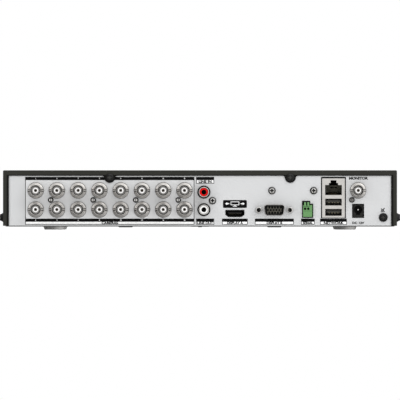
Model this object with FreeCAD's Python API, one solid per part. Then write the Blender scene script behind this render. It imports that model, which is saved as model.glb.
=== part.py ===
import FreeCAD, Part
import math
import os

from FreeCAD import Vector

# Sixteen-channel video recorder in a low steel case, in millimetres.
# Frame: the rear panel faces -Y, +X is to the right when facing that panel, +Z is up.
# The origin is the bottom centre of the whole object: z = 0 is the surface under the feet.

# ---------------------------------------------------------------- driving dimensions
WIDTH = 315.0
BODY_HEIGHT = 45.0
FOOT_HEIGHT = 2.5
OVERALL_DEPTH = 242.0
SHEET = 1.0
BEZEL_DEPTH = 16.0
BNC_REACH = 12.5

REAR_TIP_Y = -OVERALL_DEPTH / 2
PANEL_Y = REAR_TIP_Y + BNC_REACH
PANEL_INSIDE_Y = PANEL_Y + SHEET
FRONT_Y = OVERALL_DEPTH / 2
BEZEL_Y = FRONT_Y - BEZEL_DEPTH
BASE_Z = FOOT_HEIGHT
FLOOR_Z = BASE_Z + SHEET
COVER_TOP_Z = BASE_Z + BODY_HEIGHT
HALF_WIDTH = WIDTH / 2
FIT_GAP = 0.1
SEAT_GAP = 0.05

# cover
COVER_SKIRT_Z = BASE_Z + 0.6
LIP_TOP = 4.4
LIP_SIDE = 4.7
COVER_BEND = 1.0
TAB_X = 72.2
TAB_Z = 41.8
TAB_RADIUS = 4.35
TAB_FILLET = 1.8

# chassis base
BASE_HALF = HALF_WIDTH - SHEET - FIT_GAP
BASE_TOP_Z = COVER_TOP_Z - SHEET - 0.2
BASE_BEND = 2.0
SIDE_FLANGE_Z = 20.0
SIDE_SCREW_Z = 9.8
SIDE_SCREW_Y = (-80.0, 70.0)

# boards
BOARD_TOP_Z = 9.6
BOARD_THICKNESS = 1.6
BOARD_LEFT = -146.0
BOARD_RIGHT = 138.0
BOARD_BACK_Y = PANEL_INSIDE_Y + 1.0
BOARD_FRONT_Y = -70.0
WING_LEFT = 68.0
WING_FRONT_Y = 40.0
STANDOFFS = ((-138, -75), (-60, -75), (8, -75), (134.4, -99), (130, 32), (76, 32))

# coaxial video sockets: two rows of eight, and one output
BNC_PITCH = 17.0
BNC_FIRST_X = -131.4
BNC_ROWS_Z = (16.15, 31.4)
BNC_COLUMNS = 8
BLOCK_WIDTH = 33.6
BLOCK_DEPTH = 16.0
BLOCK_TOP_Z = 39.6
BLOCK_SCREW_SHIFT = -5.0
FLANGE_RADIUS = 6.35
BARREL_RADIUS = 4.85
BNC_STUB_RADIUS = 4.9
LUG_REACH = 5.55
ROW_MIDDLE_Z = sum(BNC_ROWS_Z) / 2

# the other connectors: centres on the rear panel
VIDEO_OUT_X = 126.4
AUDIO_X = 3.1
AUDIO_ROWS_Z = (16.0, 30.05)
AUDIO_SCREW = (10.0, 23.2)
DIGITAL_X, DIGITAL_Z = 27.9, 12.95
VGA_X, VGA_Z = 59.4, 15.7
JACKSCREW_SPACING = 24.99
TERMINAL_X = 86.05
LAN_X = 106.7
POWER_X, POWER_Z = 126.4, 16.0
GROUND_X, GROUND_Z = 146.5, 9.8
PANEL_SCREWS = (AUDIO_SCREW, (57.5, 31.2), (90.9, 31.2))

# hard drive, lying front to back in the middle bay
DRIVE_LENGTH = 147.0
DRIVE_HALF = 50.8
DRIVE_FRONT_Y = BEZEL_Y - 11.0
DRIVE_BACK_Y = DRIVE_FRONT_Y - DRIVE_LENGTH
DRIVE_BOTTOM_Z = 6.0
DRIVE_TOP_Z = DRIVE_BOTTOM_Z + 26.1
WELL_X = 60.0
WELL_Y = (-15.0, 84.0)
SPINDLE_Y = DRIVE_FRONT_Y - 51.0
PIVOT = (28.0, SPINDLE_Y - 50.5)

# fan on the left wall
FAN_SIZE = 40.0
FAN_THICKNESS = 10.0
FAN_Y, FAN_Z = -34.0, 25.2
FAN_X = -BASE_HALF + SHEET
FAN_SCREW_PITCH = 32.0

FEET_X = 116.4
FEET_Y = (PANEL_Y + 20.0, BEZEL_Y - 20.0)


# ---------------------------------------------------------------- shape helpers
def box(x0, x1, y0, y1, z0, z1):
    return Part.makeBox(x1 - x0, y1 - y0, z1 - z0, Vector(x0, y0, z0))


def cylinder(radius, z0, z1, x=0.0, y=0.0):
    return Part.makeCylinder(radius, z1 - z0, Vector(x, y, z0))


def cylinder_x(radius, x0, x1, y, z):
    return Part.makeCylinder(radius, x1 - x0, Vector(x0, y, z), Vector(1, 0, 0))


def tube(outer, inner, z0, z1, x=0.0, y=0.0):
    return cylinder(outer, z0, z1, x, y).cut(cylinder(inner, z0 - 1, z1 + 1, x, y))


def revolved(profile):
    """Solid of revolution about Z from (radius, z) points."""
    points = [Vector(r, 0, z) for r, z in profile]
    face = Part.Face(Part.makePolygon(points + points[:1]))
    return face.revolve(Vector(), Vector(0, 0, 1), 360)


def prism(outline, z0, z1):
    """Solid from an (x, y) outline, between two heights."""
    points = [Vector(x, y, z0) for x, y in outline]
    face = Part.Face(Part.makePolygon(points + points[:1]))
    return face.extrude(Vector(0, 0, z1 - z0))


def fused(shapes):
    return shapes[0].fuse(shapes[1:]).removeSplitter() if len(shapes) > 1 else shapes[0]


def less(shape, tools):
    return shape.cut(tools).removeSplitter()


def group(solids):
    return Part.makeCompound(solids)


def faced(shape, position, outward):
    """Shape built along +Z, moved to a position with its +Z turned to the outward direction."""
    turned = shape.copy()
    turn = FreeCAD.Rotation(Vector(0, 0, 1), Vector(*outward))
    turned.Placement = FreeCAD.Placement(Vector(*position), turn)
    return turned


def on_panel(shape, x=0.0, z=0.0):
    """Shape built with the rear panel's outer face at its z = 0 and its +Y upwards."""
    return faced(shape, (x, PANEL_Y, z), (0, -1, 0))


def rounded_along(shape, direction, radius, test=lambda centre: True):
    """Fillets the straight edges along a direction whose middle passes the test."""
    edges = []
    for edge in shape.Edges:
        if isinstance(edge.Curve, Part.Line):
            tangent = edge.tangentAt(edge.FirstParameter)
            if abs(abs(tangent.dot(Vector(*direction))) - 1) < 1e-6 and test(edge.CenterOfMass):
                edges.append(edge)
    return shape.makeFillet(radius, edges)


def hexagon(across_flats, z0, z1):
    corner = across_flats / math.sqrt(3)
    return prism([(corner * math.cos(math.radians(60 * k)), corner * math.sin(math.radians(60 * k)))
                  for k in range(6)], z0, z1)


def pan_screw(head_radius, head_height, shank_radius, length, flange=0.0):
    """Cross-recess screw: the head stands on z = 0, and the shank runs down from it."""
    edge = min(0.5, head_height * 0.3)
    profile = [(0, -length), (shank_radius * 0.7, -length), (shank_radius, -length + 0.5), (shank_radius, 0)]
    if flange:
        profile += [(head_radius, 0), (head_radius, 0.4), (head_radius - flange, 1.5)]
        top_radius = head_radius - flange - 0.4
    else:
        profile += [(head_radius, 0), (head_radius, head_height - 2 * edge)]
        top_radius = head_radius - 2 * edge
    profile += [(top_radius, head_height), (0, head_height)]
    reach = top_radius * 0.85
    slot = 0.13 * head_radius + 0.2
    depth = head_height * 0.6
    recess = [box(-reach, reach, -slot, slot, head_height - depth, head_height + 1),
              box(-slot, slot, -reach, reach, head_height - depth, head_height + 1)]
    return less(revolved(profile), recess)


def save(name, shape):
    shape.exportStep(f"parts/{name}.step")


# ---------------------------------------------------------------- layout
def bnc_columns():
    return [BNC_FIRST_X + BNC_PITCH * k for k in range(BNC_COLUMNS)]


def bnc_centres(row_z):
    return [(x, row_z) for x in bnc_columns()]


def all_bnc_centres():
    return bnc_centres(BNC_ROWS_Z[0]) + bnc_centres(BNC_ROWS_Z[1]) + [(VIDEO_OUT_X, BNC_ROWS_Z[1])]


def block_screw_centres():
    """One small screw beside each second column, and one beside the output socket."""
    return [(x + BLOCK_SCREW_SHIFT, ROW_MIDDLE_Z) for x in bnc_columns()[1::2] + [VIDEO_OUT_X]]


def foot_centres():
    return [(x, y) for x in (-FEET_X, FEET_X) for y in FEET_Y]


def well_centres():
    return [(x, y) for x in (-WELL_X, WELL_X) for y in WELL_Y]


def fan_screw_centres():
    half = FAN_SCREW_PITCH / 2
    return [(FAN_Y + dy, FAN_Z + dz) for dy in (-half, half) for dz in (-half, half)]


# ---------------------------------------------------------------- connector outlines
def digital_outline(grow):
    """Socket outline, wide at the top with two slanted lower corners."""
    half_top, half_low, half_height = 7.4, 5.1, 2.65
    return [(-half_top - grow, half_height + grow), (-half_top - grow, -0.95 - 0.4 * grow),
            (-half_low - 0.6 * grow, -half_height - grow), (half_low + 0.6 * grow, -half_height - grow),
            (half_top + grow, -0.95 - 0.4 * grow), (half_top + grow, half_height + grow)]


def d_shape(grow, z0, z1):
    """D-shaped prism with rounded corners, wide side up."""
    half_height = 3.95 + grow
    top, low = 8.15 + grow, 6.8 + grow
    outline = [(-top, half_height), (-low, -half_height), (low, -half_height), (top, half_height)]
    return rounded_along(prism(outline, z0, z1), (0, 0, 1), 1.9 + grow)


def terminal_outline(grow):
    """Stepped outline in absolute heights: tall over the two poles, lower at the right."""
    return [(-4.3 - grow, BOARD_TOP_Z - grow), (4.3 + grow, BOARD_TOP_Z - grow),
            (4.3 + grow, 20.6 + grow), (1.9 + grow, 20.6 + grow),
            (1.9 + grow, 22.9 + grow), (-4.3 - grow, 22.9 + grow)]


LAN_HALF, LAN_TOP_Z = 9.05, 41.0
LAN_CLEARANCE = 0.8
RJ_LOW_Z, RJ_HIGH_Z, RJ_STEP_Z, RJ_TAB_Z = 27.9, 35.7, 37.3, 39.5
RJ_HALF, RJ_STEP_HALF, RJ_TAB_HALF = 6.1, 3.65, 2.35
RJ_RIM = 0.55
USB_HALF, USB_HEIGHT = 6.65, 5.5
USB_LOW_Z = (11.1, 19.3)


def rj_cavity(grow, z0, z1):
    """Stepped plug cavity of the network socket, in absolute heights."""
    return fused([
        box(-RJ_HALF - grow, RJ_HALF + grow, RJ_LOW_Z - grow, RJ_HIGH_Z + grow, z0, z1),
        box(-RJ_STEP_HALF - grow, RJ_STEP_HALF + grow, RJ_LOW_Z, RJ_STEP_Z + grow, z0, z1),
        box(-RJ_TAB_HALF - grow, RJ_TAB_HALF + grow, RJ_LOW_Z, RJ_TAB_Z + grow, z0, z1)])


def usb_cavity(low_z, z0, z1):
    return box(-USB_HALF, USB_HALF, low_z, low_z + USB_HEIGHT, z0, z1)


# ---------------------------------------------------------------- casing
def chassis_base():
    """Folded steel tray: floor, rear panel, front wall, low side flanges and a fan mount."""
    outer = box(-BASE_HALF, BASE_HALF, PANEL_Y, BEZEL_Y, BASE_Z, BASE_TOP_Z)
    low_edge = lambda centre: centre.z < BASE_Z + 0.1
    outer = rounded_along(outer, (0, 1, 0), BASE_BEND, low_edge)
    inner = box(-BASE_HALF + SHEET, BASE_HALF - SHEET, PANEL_INSIDE_Y, BEZEL_Y - SHEET,
                FLOOR_Z, BASE_TOP_Z + 1)
    inner = rounded_along(inner, (0, 1, 0), BASE_BEND - SHEET, lambda centre: centre.z < FLOOR_Z + 0.1)
    tray = outer.cut(inner)
    fan_low, fan_high = FAN_Y - FAN_SIZE / 2 - 2, FAN_Y + FAN_SIZE / 2 + 2
    inside_back, inside_front = PANEL_INSIDE_Y, BEZEL_Y - SHEET
    trims = [box(BASE_HALF - 2, BASE_HALF + 1, inside_back, inside_front, SIDE_FLANGE_Z, BASE_TOP_Z + 1),
             box(-BASE_HALF - 1, -BASE_HALF + 2, inside_back, fan_low, SIDE_FLANGE_Z, BASE_TOP_Z + 1),
             box(-BASE_HALF - 1, -BASE_HALF + 2, fan_high, inside_front, SIDE_FLANGE_Z, BASE_TOP_Z + 1)]
    tray = tray.cut(trims)
    wells = [faced(revolved([(0, 0), (5.7, 0), (5.3, -0.8), (0, -0.8)]), (x, y, BASE_Z), (0, 0, 1))
             for x, y in well_centres()]
    centre_well = revolved([(0, 0), (8.0, 0), (7.0, -0.35), (1.6, -0.35), (1.4, -0.8), (0, -0.8)])
    tray = tray.fuse(wells + [faced(centre_well, (0, sum(WELL_Y) / 2, BASE_Z), (0, 0, 1))])
    hollow = revolved([(0, 1.1), (4.5, 1.1), (4.5, 0.9), (3.6, 0.2), (1.45, 0.2), (1.45, -1.0), (0, -1.0)])
    hollows = [faced(hollow, (x, y, BASE_Z), (0, 0, 1)) for x, y in well_centres()]
    return less(tray, hollows + panel_cutouts() + base_holes())


def panel_cutouts():
    """Openings of the rear panel, one for each connector and fastener."""
    deep, proud = -SHEET - 0.5, 0.5
    cuts = [on_panel(cylinder(FLANGE_RADIUS + 0.15, deep, proud), x, z) for x, z in all_bnc_centres()]
    cuts += [on_panel(cylinder(1.35, deep, proud), x, z) for x, z in block_screw_centres()]
    cuts += [on_panel(cylinder(5.2, deep, proud), AUDIO_X, z) for z in AUDIO_ROWS_Z]
    cuts += [on_panel(cylinder(1.6, deep, proud), x, z) for x, z in PANEL_SCREWS]
    cuts += [on_panel(prism(digital_outline(0.2), deep, proud), DIGITAL_X, DIGITAL_Z)]
    cuts += [on_panel(d_shape(0.45, deep, proud), VGA_X, VGA_Z)]
    cuts += [on_panel(cylinder(1.7, deep, proud, side * JACKSCREW_SPACING / 2), VGA_X, VGA_Z)
             for side in (-1, 1)]
    cuts += [on_panel(prism(terminal_outline(0.15), deep, proud), TERMINAL_X)]
    lan_side = LAN_HALF + LAN_CLEARANCE
    lan_opening = box(-lan_side, lan_side, BOARD_TOP_Z - 0.4, LAN_TOP_Z + LAN_CLEARANCE, deep, proud)
    cuts += [on_panel(lan_opening, LAN_X)]
    cuts += [on_panel(box(-4.8, 4.8, BOARD_TOP_Z - 0.2, 20.7, deep, proud), POWER_X)]
    cuts += [on_panel(cylinder(2.05, deep, proud), GROUND_X, GROUND_Z)]
    cuts += [on_panel(cylinder(1.6, deep, proud), x, TAB_Z) for x in (-TAB_X, TAB_X)]
    return cuts


def base_holes():
    """Holes for the standoffs, drive screws, side screws, fan and indicator parts."""
    holes = [cylinder(2.0, BASE_Z - 0.5, FLOOR_Z + 0.5, x, y) for x, y in STANDOFFS]
    holes += [cylinder_x(1.6, side * BASE_HALF - 2, side * BASE_HALF + 2, y, SIDE_SCREW_Z)
              for side in (-1, 1) for y in SIDE_SCREW_Y]
    holes += [cylinder_x(FAN_SIZE / 2 - 1.6, FAN_X - 2, FAN_X + 1, FAN_Y, FAN_Z)]
    holes += [cylinder_x(1.6, FAN_X - 2, FAN_X + 1, y, z) for y, z in fan_screw_centres()]
    holes += [box(-30, 42, BEZEL_Y - 2, BEZEL_Y + 1, 12.0, 30.0)]
    return holes


def top_cover():
    """Folded steel cover: top, two sides with vents, and a lip with two screw tabs at the rear."""
    back = PANEL_Y - SHEET
    outer = box(-HALF_WIDTH, HALF_WIDTH, back, BEZEL_Y, COVER_SKIRT_Z, COVER_TOP_Z)
    outer = rounded_along(outer, (0, 1, 0), COVER_BEND, lambda centre: centre.z > COVER_TOP_Z - 0.1)
    inner = box(-HALF_WIDTH + SHEET, HALF_WIDTH - SHEET, PANEL_Y, BEZEL_Y + 1,
                COVER_SKIRT_Z - 1, COVER_TOP_Z - SHEET)
    window = box(-HALF_WIDTH + LIP_SIDE, HALF_WIDTH - LIP_SIDE, back - 1, PANEL_Y + 1,
                 COVER_SKIRT_Z - 1, COVER_TOP_Z - LIP_TOP)
    shell = outer.cut([inner, window])
    tabs = [on_panel(screw_tab(), x, 0.0) for x in (-TAB_X, TAB_X)]
    shell = shell.fuse(tabs)
    return less(shell, cover_holes())


def screw_tab():
    """Round tab below the lip, blended into it by two small concave arcs."""
    lip_z = COVER_TOP_Z - LIP_TOP
    arc_z = lip_z - TAB_FILLET
    arc_x = math.sqrt((TAB_RADIUS + TAB_FILLET) ** 2 - (TAB_Z - arc_z) ** 2)
    root = box(-arc_x, arc_x, arc_z, lip_z + 0.5, 0, SHEET)
    root = root.cut([cylinder(TAB_FILLET, -1, SHEET + 1, side * arc_x, arc_z) for side in (-1, 1)])
    return root.fuse(cylinder(TAB_RADIUS, 0, SHEET, 0, TAB_Z))


def cover_holes():
    """Screw holes and the side vents: upright slots on both sides."""
    holes = [on_panel(cylinder(1.7, -0.5, SHEET + 0.5), x, TAB_Z) for x in (-TAB_X, TAB_X)]
    for side in (-1, 1):
        wall = side * (HALF_WIDTH - SHEET / 2)
        holes += [cylinder_x(1.7, wall - 1, wall + 1, y, SIDE_SCREW_Z) for y in SIDE_SCREW_Y]
        centre_y = FAN_Y if side < 0 else -10.0
        count = 9 if side < 0 else 13
        for k in range(count):
            y = centre_y + 4.6 * (k - (count - 1) / 2)
            slot = box(wall - 1, wall + 1, y - 1.1, y + 1.1, 14.0, 36.0)
            ends = [cylinder_x(1.1, wall - 1, wall + 1, y, z) for z in (14.0, 36.0)]
            holes.append(slot.fuse(ends))
    return holes


WINDOW_X, WINDOW_Z, WINDOW_HALF, WINDOW_HEIGHT = 105.0, 18.0, 26.0, 11.0
PIPE_X = (-24.0, 0.0, 24.0)
PIPE_Z = 18.0
BEZEL_WALL = 2.2


def bezel_profile(inset):
    """Side outline of the front bezel in (y, z), with a groove across its face."""
    low, high = BASE_Z + inset, COVER_TOP_Z - inset
    front = FRONT_Y - inset
    return [(BEZEL_Y, low), (front - 2.6, low), (front, low + 4.5), (front, 27.6), (front - 1.2, 28.4),
            (front - 1.2, 29.6), (front, 30.4), (front, high - 2.0), (front - 1.6, high), (BEZEL_Y, high)]


def bezel_solid(inset):
    half = HALF_WIDTH - inset
    points = [Vector(-half, y, z) for y, z in bezel_profile(inset)]
    face = Part.Face(Part.makePolygon(points + points[:1]))
    return face.extrude(Vector(2 * half, 0, 0))


def front_bezel():
    """Hollow moulded front with a window opening, three lamp holes and four hooks to the chassis."""
    shell = bezel_solid(0.0)
    shell = shell.cut(bezel_solid(BEZEL_WALL))
    cuts = [box(WINDOW_X - WINDOW_HALF, WINDOW_X + WINDOW_HALF, FRONT_Y - 4, FRONT_Y + 1,
                WINDOW_Z - WINDOW_HEIGHT / 2, WINDOW_Z + WINDOW_HEIGHT / 2)]
    cuts += [faced(cylinder(1.5, -1, 5), (x, FRONT_Y - 4, PIPE_Z), (0, 1, 0)) for x in PIPE_X]
    posts = [box(x - 3, x + 3, BEZEL_Y + 3.1, FRONT_Y - 2.0, z - 2.5, z + 2.5)
             for x in (-38, 38) for z in (PIPE_Z,)]
    shell = shell.cut(cuts).fuse(posts)
    hooks = [box(x - 5, x + 5, BEZEL_Y, BEZEL_Y + 6, z, z + 1.6)
             for x in (-120, 120) for z in (BASE_Z + 2.1, COVER_TOP_Z - 3.7)]
    return fused([shell] + hooks)


def feet():
    """Four round feet, tapered down, with a hollow in the sole."""
    profile = [(0, 1.0), (4.5, 0.6), (6.0, 0), (7.8, 0), (8.2, 0.3), (8.95, FOOT_HEIGHT), (0, FOOT_HEIGHT)]
    return group([faced(revolved(profile), (x, y, 0), (0, 0, 1)) for x, y in foot_centres()])


# ---------------------------------------------------------------- coaxial sockets
def bnc_socket():
    """Die-cast socket: coned flange, barrel with two bayonet lugs, and a stub held in its block."""
    profile = [(3.35, -9), (BNC_STUB_RADIUS, -9), (BNC_STUB_RADIUS, -SHEET), (FLANGE_RADIUS, -SHEET),
               (FLANGE_RADIUS, 1.5), (FLANGE_RADIUS - 0.2, 1.8), (BARREL_RADIUS + 0.15, 2.4),
               (BARREL_RADIUS, 2.6),
               (BARREL_RADIUS, BNC_REACH - 0.5), (BARREL_RADIUS - 0.35, BNC_REACH),
               (4.25, BNC_REACH), (4.1, BNC_REACH - 0.3), (4.1, 4.0), (3.35, 4.0)]
    lug = faced(cylinder(1.0, 4.4, LUG_REACH), (0, 0, BNC_REACH - 4.8), (1, 0, 0))
    other = faced(cylinder(1.0, 4.4, LUG_REACH), (0, 0, BNC_REACH - 4.8), (-1, 0, 0))
    return fused([revolved(profile), lug, other])


def bnc_insulator():
    """Tube round the contact: a shoulder low in the barrel, then a nub that ends just below the rim."""
    return revolved([(1.2, -9), (3.3, -9), (3.3, 7.0), (3.5, 7.3), (3.5, 9.0), (3.35, 9.15), (2.35, 9.15),
                     (2.35, 11.8), (2.15, 12.1), (1.6, 12.1), (1.35, 11.8), (1.35, 10.3), (1.2, 10.3)])


def bnc_contact():
    return revolved([(0, -11), (0.5, -11), (0.5, -9), (1.15, -8.8), (1.15, 10.0), (1.0, 10.2),
                     (0.65, 10.2), (0.65, 5.0), (0, 4.6)])


def block_bores(centres):
    """Seats for the socket stubs and, behind each, for its contact tail."""
    bores = [on_panel(cylinder(BNC_STUB_RADIUS + SEAT_GAP, -9.0, -SHEET), x, z) for x, z in centres]
    bores += [on_panel(cylinder(1.5, -12.0, -8.5), x, z) for x, z in centres]
    return bores


def bnc_blocks():
    """Four moulded blocks, each holding two columns of two sockets."""
    solids = []
    for x in bnc_columns()[::2]:
        middle = x + BNC_PITCH / 2
        body = box(middle - BLOCK_WIDTH / 2, middle + BLOCK_WIDTH / 2,
                   PANEL_INSIDE_Y, PANEL_INSIDE_Y + BLOCK_DEPTH, BOARD_TOP_Z, BLOCK_TOP_Z)
        centres = [(x + dx, z) for dx in (0, BNC_PITCH) for z in BNC_ROWS_Z]
        screw = on_panel(cylinder(1.3, -8.0, 0), x + BNC_PITCH + BLOCK_SCREW_SHIFT, ROW_MIDDLE_Z)
        solids.append(less(body, block_bores(centres) + [screw]))
    return group(solids)


def video_out_block():
    """Single block above the power inlet, on a leg that reaches the board behind it."""
    head_back = PANEL_INSIDE_Y + BLOCK_DEPTH
    head = box(VIDEO_OUT_X - 8.2, VIDEO_OUT_X + 8.2, PANEL_INSIDE_Y, head_back, 21.2, BLOCK_TOP_Z)
    leg = box(VIDEO_OUT_X - 6, VIDEO_OUT_X + 6, head_back, head_back + 4, BOARD_TOP_Z, BLOCK_TOP_Z)
    screw = on_panel(cylinder(1.3, -8.0, 0), VIDEO_OUT_X + BLOCK_SCREW_SHIFT, ROW_MIDDLE_Z)
    return less(fused([head, leg]), block_bores([(VIDEO_OUT_X, BNC_ROWS_Z[1])]) + [screw])


def save_coaxial_sockets():
    save("bnc_blocks", bnc_blocks())
    save("bnc_jacks_lower_row", group([on_panel(bnc_socket(), x, z) for x, z in bnc_centres(BNC_ROWS_Z[0])]))
    save("bnc_jacks_upper_row", group([on_panel(bnc_socket(), x, z) for x, z in bnc_centres(BNC_ROWS_Z[1])]))
    save("video_out_block", video_out_block())
    save("video_out_jack", on_panel(bnc_socket(), VIDEO_OUT_X, BNC_ROWS_Z[1]))
    save("bnc_insulators", group([on_panel(bnc_insulator(), x, z) for x, z in all_bnc_centres()]))
    save("bnc_contacts", group([on_panel(bnc_contact(), x, z) for x, z in all_bnc_centres()]))
    small_screw = pan_screw(2.2, 1.4, 1.25, 7.0)
    save("bnc_block_screws", group([on_panel(small_screw, x, z) for x, z in block_screw_centres()]))


# ---------------------------------------------------------------- audio sockets
def save_audio_sockets():
    body = box(AUDIO_X - 6.2, AUDIO_X + 10.1, PANEL_INSIDE_Y, PANEL_INSIDE_Y + 14, BOARD_TOP_Z, 37.2)
    collars = [on_panel(cylinder(5.1, -SHEET, 0.9), AUDIO_X, z) for z in AUDIO_ROWS_Z]
    bores = [on_panel(cylinder(4.2, -9.0, 1.5), AUDIO_X, z) for z in AUDIO_ROWS_Z]
    screw = on_panel(cylinder(1.5, -9.0, 0), *AUDIO_SCREW)
    save("audio_block", less(fused([body] + collars), bores + [screw]))
    shell = revolved([(3.45, -8.9), (4.15, -8.9), (4.15, 9.0), (3.95, 9.3), (3.6, 9.3), (3.45, 9.1)])
    save("audio_jacks", group([on_panel(shell, AUDIO_X, z) for z in AUDIO_ROWS_Z]))
    insert = revolved([(0, -8.9), (3.4, -8.9), (3.4, 8.6), (3.1, 8.8), (2.0, 8.8), (1.75, 8.5),
                       (1.75, -5), (0, -5)])
    save("audio_out_insert", on_panel(insert, AUDIO_X, AUDIO_ROWS_Z[0]))
    save("audio_in_insert", on_panel(insert, AUDIO_X, AUDIO_ROWS_Z[1]))


# ---------------------------------------------------------------- monitor sockets
def save_digital_video_socket():
    shell = prism(digital_outline(0.0), -11.0, 0.6).cut(prism(digital_outline(-0.4), -10.4, 1.0))
    save("digital_video_shell", on_panel(shell, DIGITAL_X, DIGITAL_Z))
    root = box(-6.2, 6.2, -0.6, 1.9, -10.4, -8.0)
    tongue = box(-5.6, 5.6, -0.1, 1.3, -8.0, -0.6)
    save("digital_video_tongue", on_panel(fused([root, tongue]), DIGITAL_X, DIGITAL_Z))


def save_vga_socket():
    plate = box(-15.4, 15.4, -6.2, 6.2, -SHEET - 0.8, -SHEET)
    shell = fused([plate, d_shape(0.0, -SHEET - 0.8, 5.8)]).cut(d_shape(-0.5, -SHEET - 1.8, 6.8))
    shank_holes = [cylinder(1.7, -3, 0, side * JACKSCREW_SPACING / 2) for side in (-1, 1)]
    save("vga_shell", on_panel(less(shell, shank_holes), VGA_X, VGA_Z))
    body = box(-15.4, 15.4, VGA_Z * -1 + BOARD_TOP_Z, 6.2, -13.0, -SHEET - 0.8)
    core = d_shape(-0.55, -SHEET - 0.8, 5.3)
    holes = []
    for row, shift in enumerate((0.0, -1.145, 0.0)):
        y = 1.98 - 1.98 * row
        holes += [cylinder(0.55, 0.3, 6.0, 2.29 * (k - 2) + shift + 0.57, y) for k in range(5)]
    shanks = [cylinder(1.45, -9.0, 0, side * JACKSCREW_SPACING / 2) for side in (-1, 1)]
    save("vga_insert", on_panel(less(fused([body, core]), holes + shanks), VGA_X, VGA_Z))
    hexes = []
    for side in (-1, 1):
        nut = hexagon(4.8, 0, 4.8).common(revolved([(0, 0), (2.9, 0), (2.9, 4.3), (2.3, 4.8), (0, 4.8)]))
        screw = fused([nut, cylinder(1.4, -7.0, 0)]).cut(cylinder(1.2, -1.0, 5.0))
        hexes.append(on_panel(screw, VGA_X + side * JACKSCREW_SPACING / 2, VGA_Z))
    save("vga_jackscrews", group(hexes))


# ---------------------------------------------------------------- serial terminal
POLE_X = (-2.05, 0.5)
PLUG_LOW_Z, PLUG_STEP_Z, PLUG_TOP_Z = 10.25, 14.6, 19.75
LEVER_LOW_Z, LEVER_TOP_Z = 18.6, 22.0
WIRE_Z = 16.75
LEVER_HALF = 0.78


def save_serial_terminal():
    """Shroud on the board, a plug that pulls out of it, and the plug's two wire-release levers."""
    shroud = prism(terminal_outline(0.0), -11.0, 0.4).cut(prism(terminal_outline(-0.45), -9.5, 1.0))
    save("terminal_header", on_panel(shroud, TERMINAL_X))
    upper = box(-3.65, 3.65, PLUG_LOW_Z, PLUG_TOP_Z, -8.0, 2.4)
    lower = box(-3.65, 3.65, PLUG_LOW_Z, PLUG_STEP_Z, 2.4, 3.0)
    plug = fused([upper, lower])
    slots = [box(x - LEVER_HALF - 0.12, x + LEVER_HALF + 0.12, LEVER_LOW_Z - 0.12, PLUG_TOP_Z + 1, -9, 4)
             for x in POLE_X]
    wires = [cylinder(0.85, -5.0, 4, x, WIRE_Z) for x in POLE_X]
    mouth = revolved([(0, 0), (0.85, 0), (1.15, 0.5), (0, 0.5)])
    mouths = [faced(mouth, (x, WIRE_Z, 2.0), (0, 0, 1)) for x in POLE_X]
    plug = less(plug, slots + wires + mouths)
    save("terminal_plug", on_panel(plug, TERMINAL_X))
    for name, x in zip(("left", "right"), POLE_X):
        arm = box(x - LEVER_HALF, x + LEVER_HALF, LEVER_LOW_Z, LEVER_TOP_Z, -5.0, 3.6)
        arm = rounded_along(arm, (1, 0, 0), 0.6, lambda centre: centre.z > 0)
        save(f"release_lever_{name}", on_panel(arm, TERMINAL_X))


# ---------------------------------------------------------------- network and USB stack
def save_lan_usb_stack():
    front = 0.8
    wall = 0.4
    back, lip, inside = -20.0 + wall, front - wall, LAN_HALF - wall
    cage = box(-LAN_HALF, LAN_HALF, BOARD_TOP_Z, LAN_TOP_Z, -20.0, front)
    hollow = box(-inside, inside, BOARD_TOP_Z + wall, LAN_TOP_Z - wall, back, lip)
    shelf = [box(-inside, inside, z, z + wall, back, lip) for z in (17.75, 26.2)]
    rim = box(-RJ_HALF - RJ_RIM, RJ_HALF + RJ_RIM, RJ_LOW_Z - 0.2, RJ_HIGH_Z, 0, 2)
    openings = [rj_cavity(0.0, 0, 2), rim] + [usb_cavity(z, 0, 2) for z in USB_LOW_Z]
    save("lan_usb_cage", on_panel(less(cage.cut(hollow).fuse(shelf), openings), LAN_X))
    side = inside - SEAT_GAP
    insert = box(-side, side, 26.65, LAN_TOP_Z - wall - SEAT_GAP, back, lip - SEAT_GAP)
    save("lan_insert", on_panel(less(insert, [rj_cavity(-0.05, -13.5, 1)]), LAN_X))
    contacts = []
    for k in range(8):
        x = 1.02 * (k - 3.5)
        points = [(28.1, -3.0), (28.5, -3.0), (30.6, -13.5), (30.2, -13.5)]
        outline = [Vector(x - 0.15, y, z) for y, z in points]
        face = Part.Face(Part.makePolygon(outline + outline[:1]))
        contacts.append(face.extrude(Vector(0.3, 0, 0)))
    save("lan_contacts", on_panel(group(contacts), LAN_X))
    tongues = []
    for low_z in USB_LOW_Z:
        root = box(-6.0, 6.0, low_z + 0.3, low_z + USB_HEIGHT - 0.3, back, back + 5.0)
        blade = box(-5.6, 5.6, low_z + 2.5, low_z + 4.3, back + 5.0, -0.6)
        tongues.append(fused([root, blade]))
    save("usb_tongues", on_panel(group(tongues), LAN_X))


# ---------------------------------------------------------------- power and ground
def save_power_inlet():
    jack = box(-4.5, 4.5, BOARD_TOP_Z, 20.4, -13.5, 0.3)
    hole = cylinder(3.15, -9.2, 1, 0, POWER_Z)
    leaf_slot = box(-1.6, 1.6, POWER_Z - 4.2, POWER_Z, -9.2, 1)
    pin_seat = cylinder(1.0 + SEAT_GAP, -11.0, 0, 0, POWER_Z)
    save("power_jack", on_panel(less(jack, [hole, leaf_slot, pin_seat]), POWER_X))
    pin = revolved([(0, -11.0), (1.0, -11.0), (1.0, -1.9), (0.5, -1.4), (0, -1.4)])
    save("power_jack_pin", on_panel(pin, POWER_X, POWER_Z))


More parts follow.
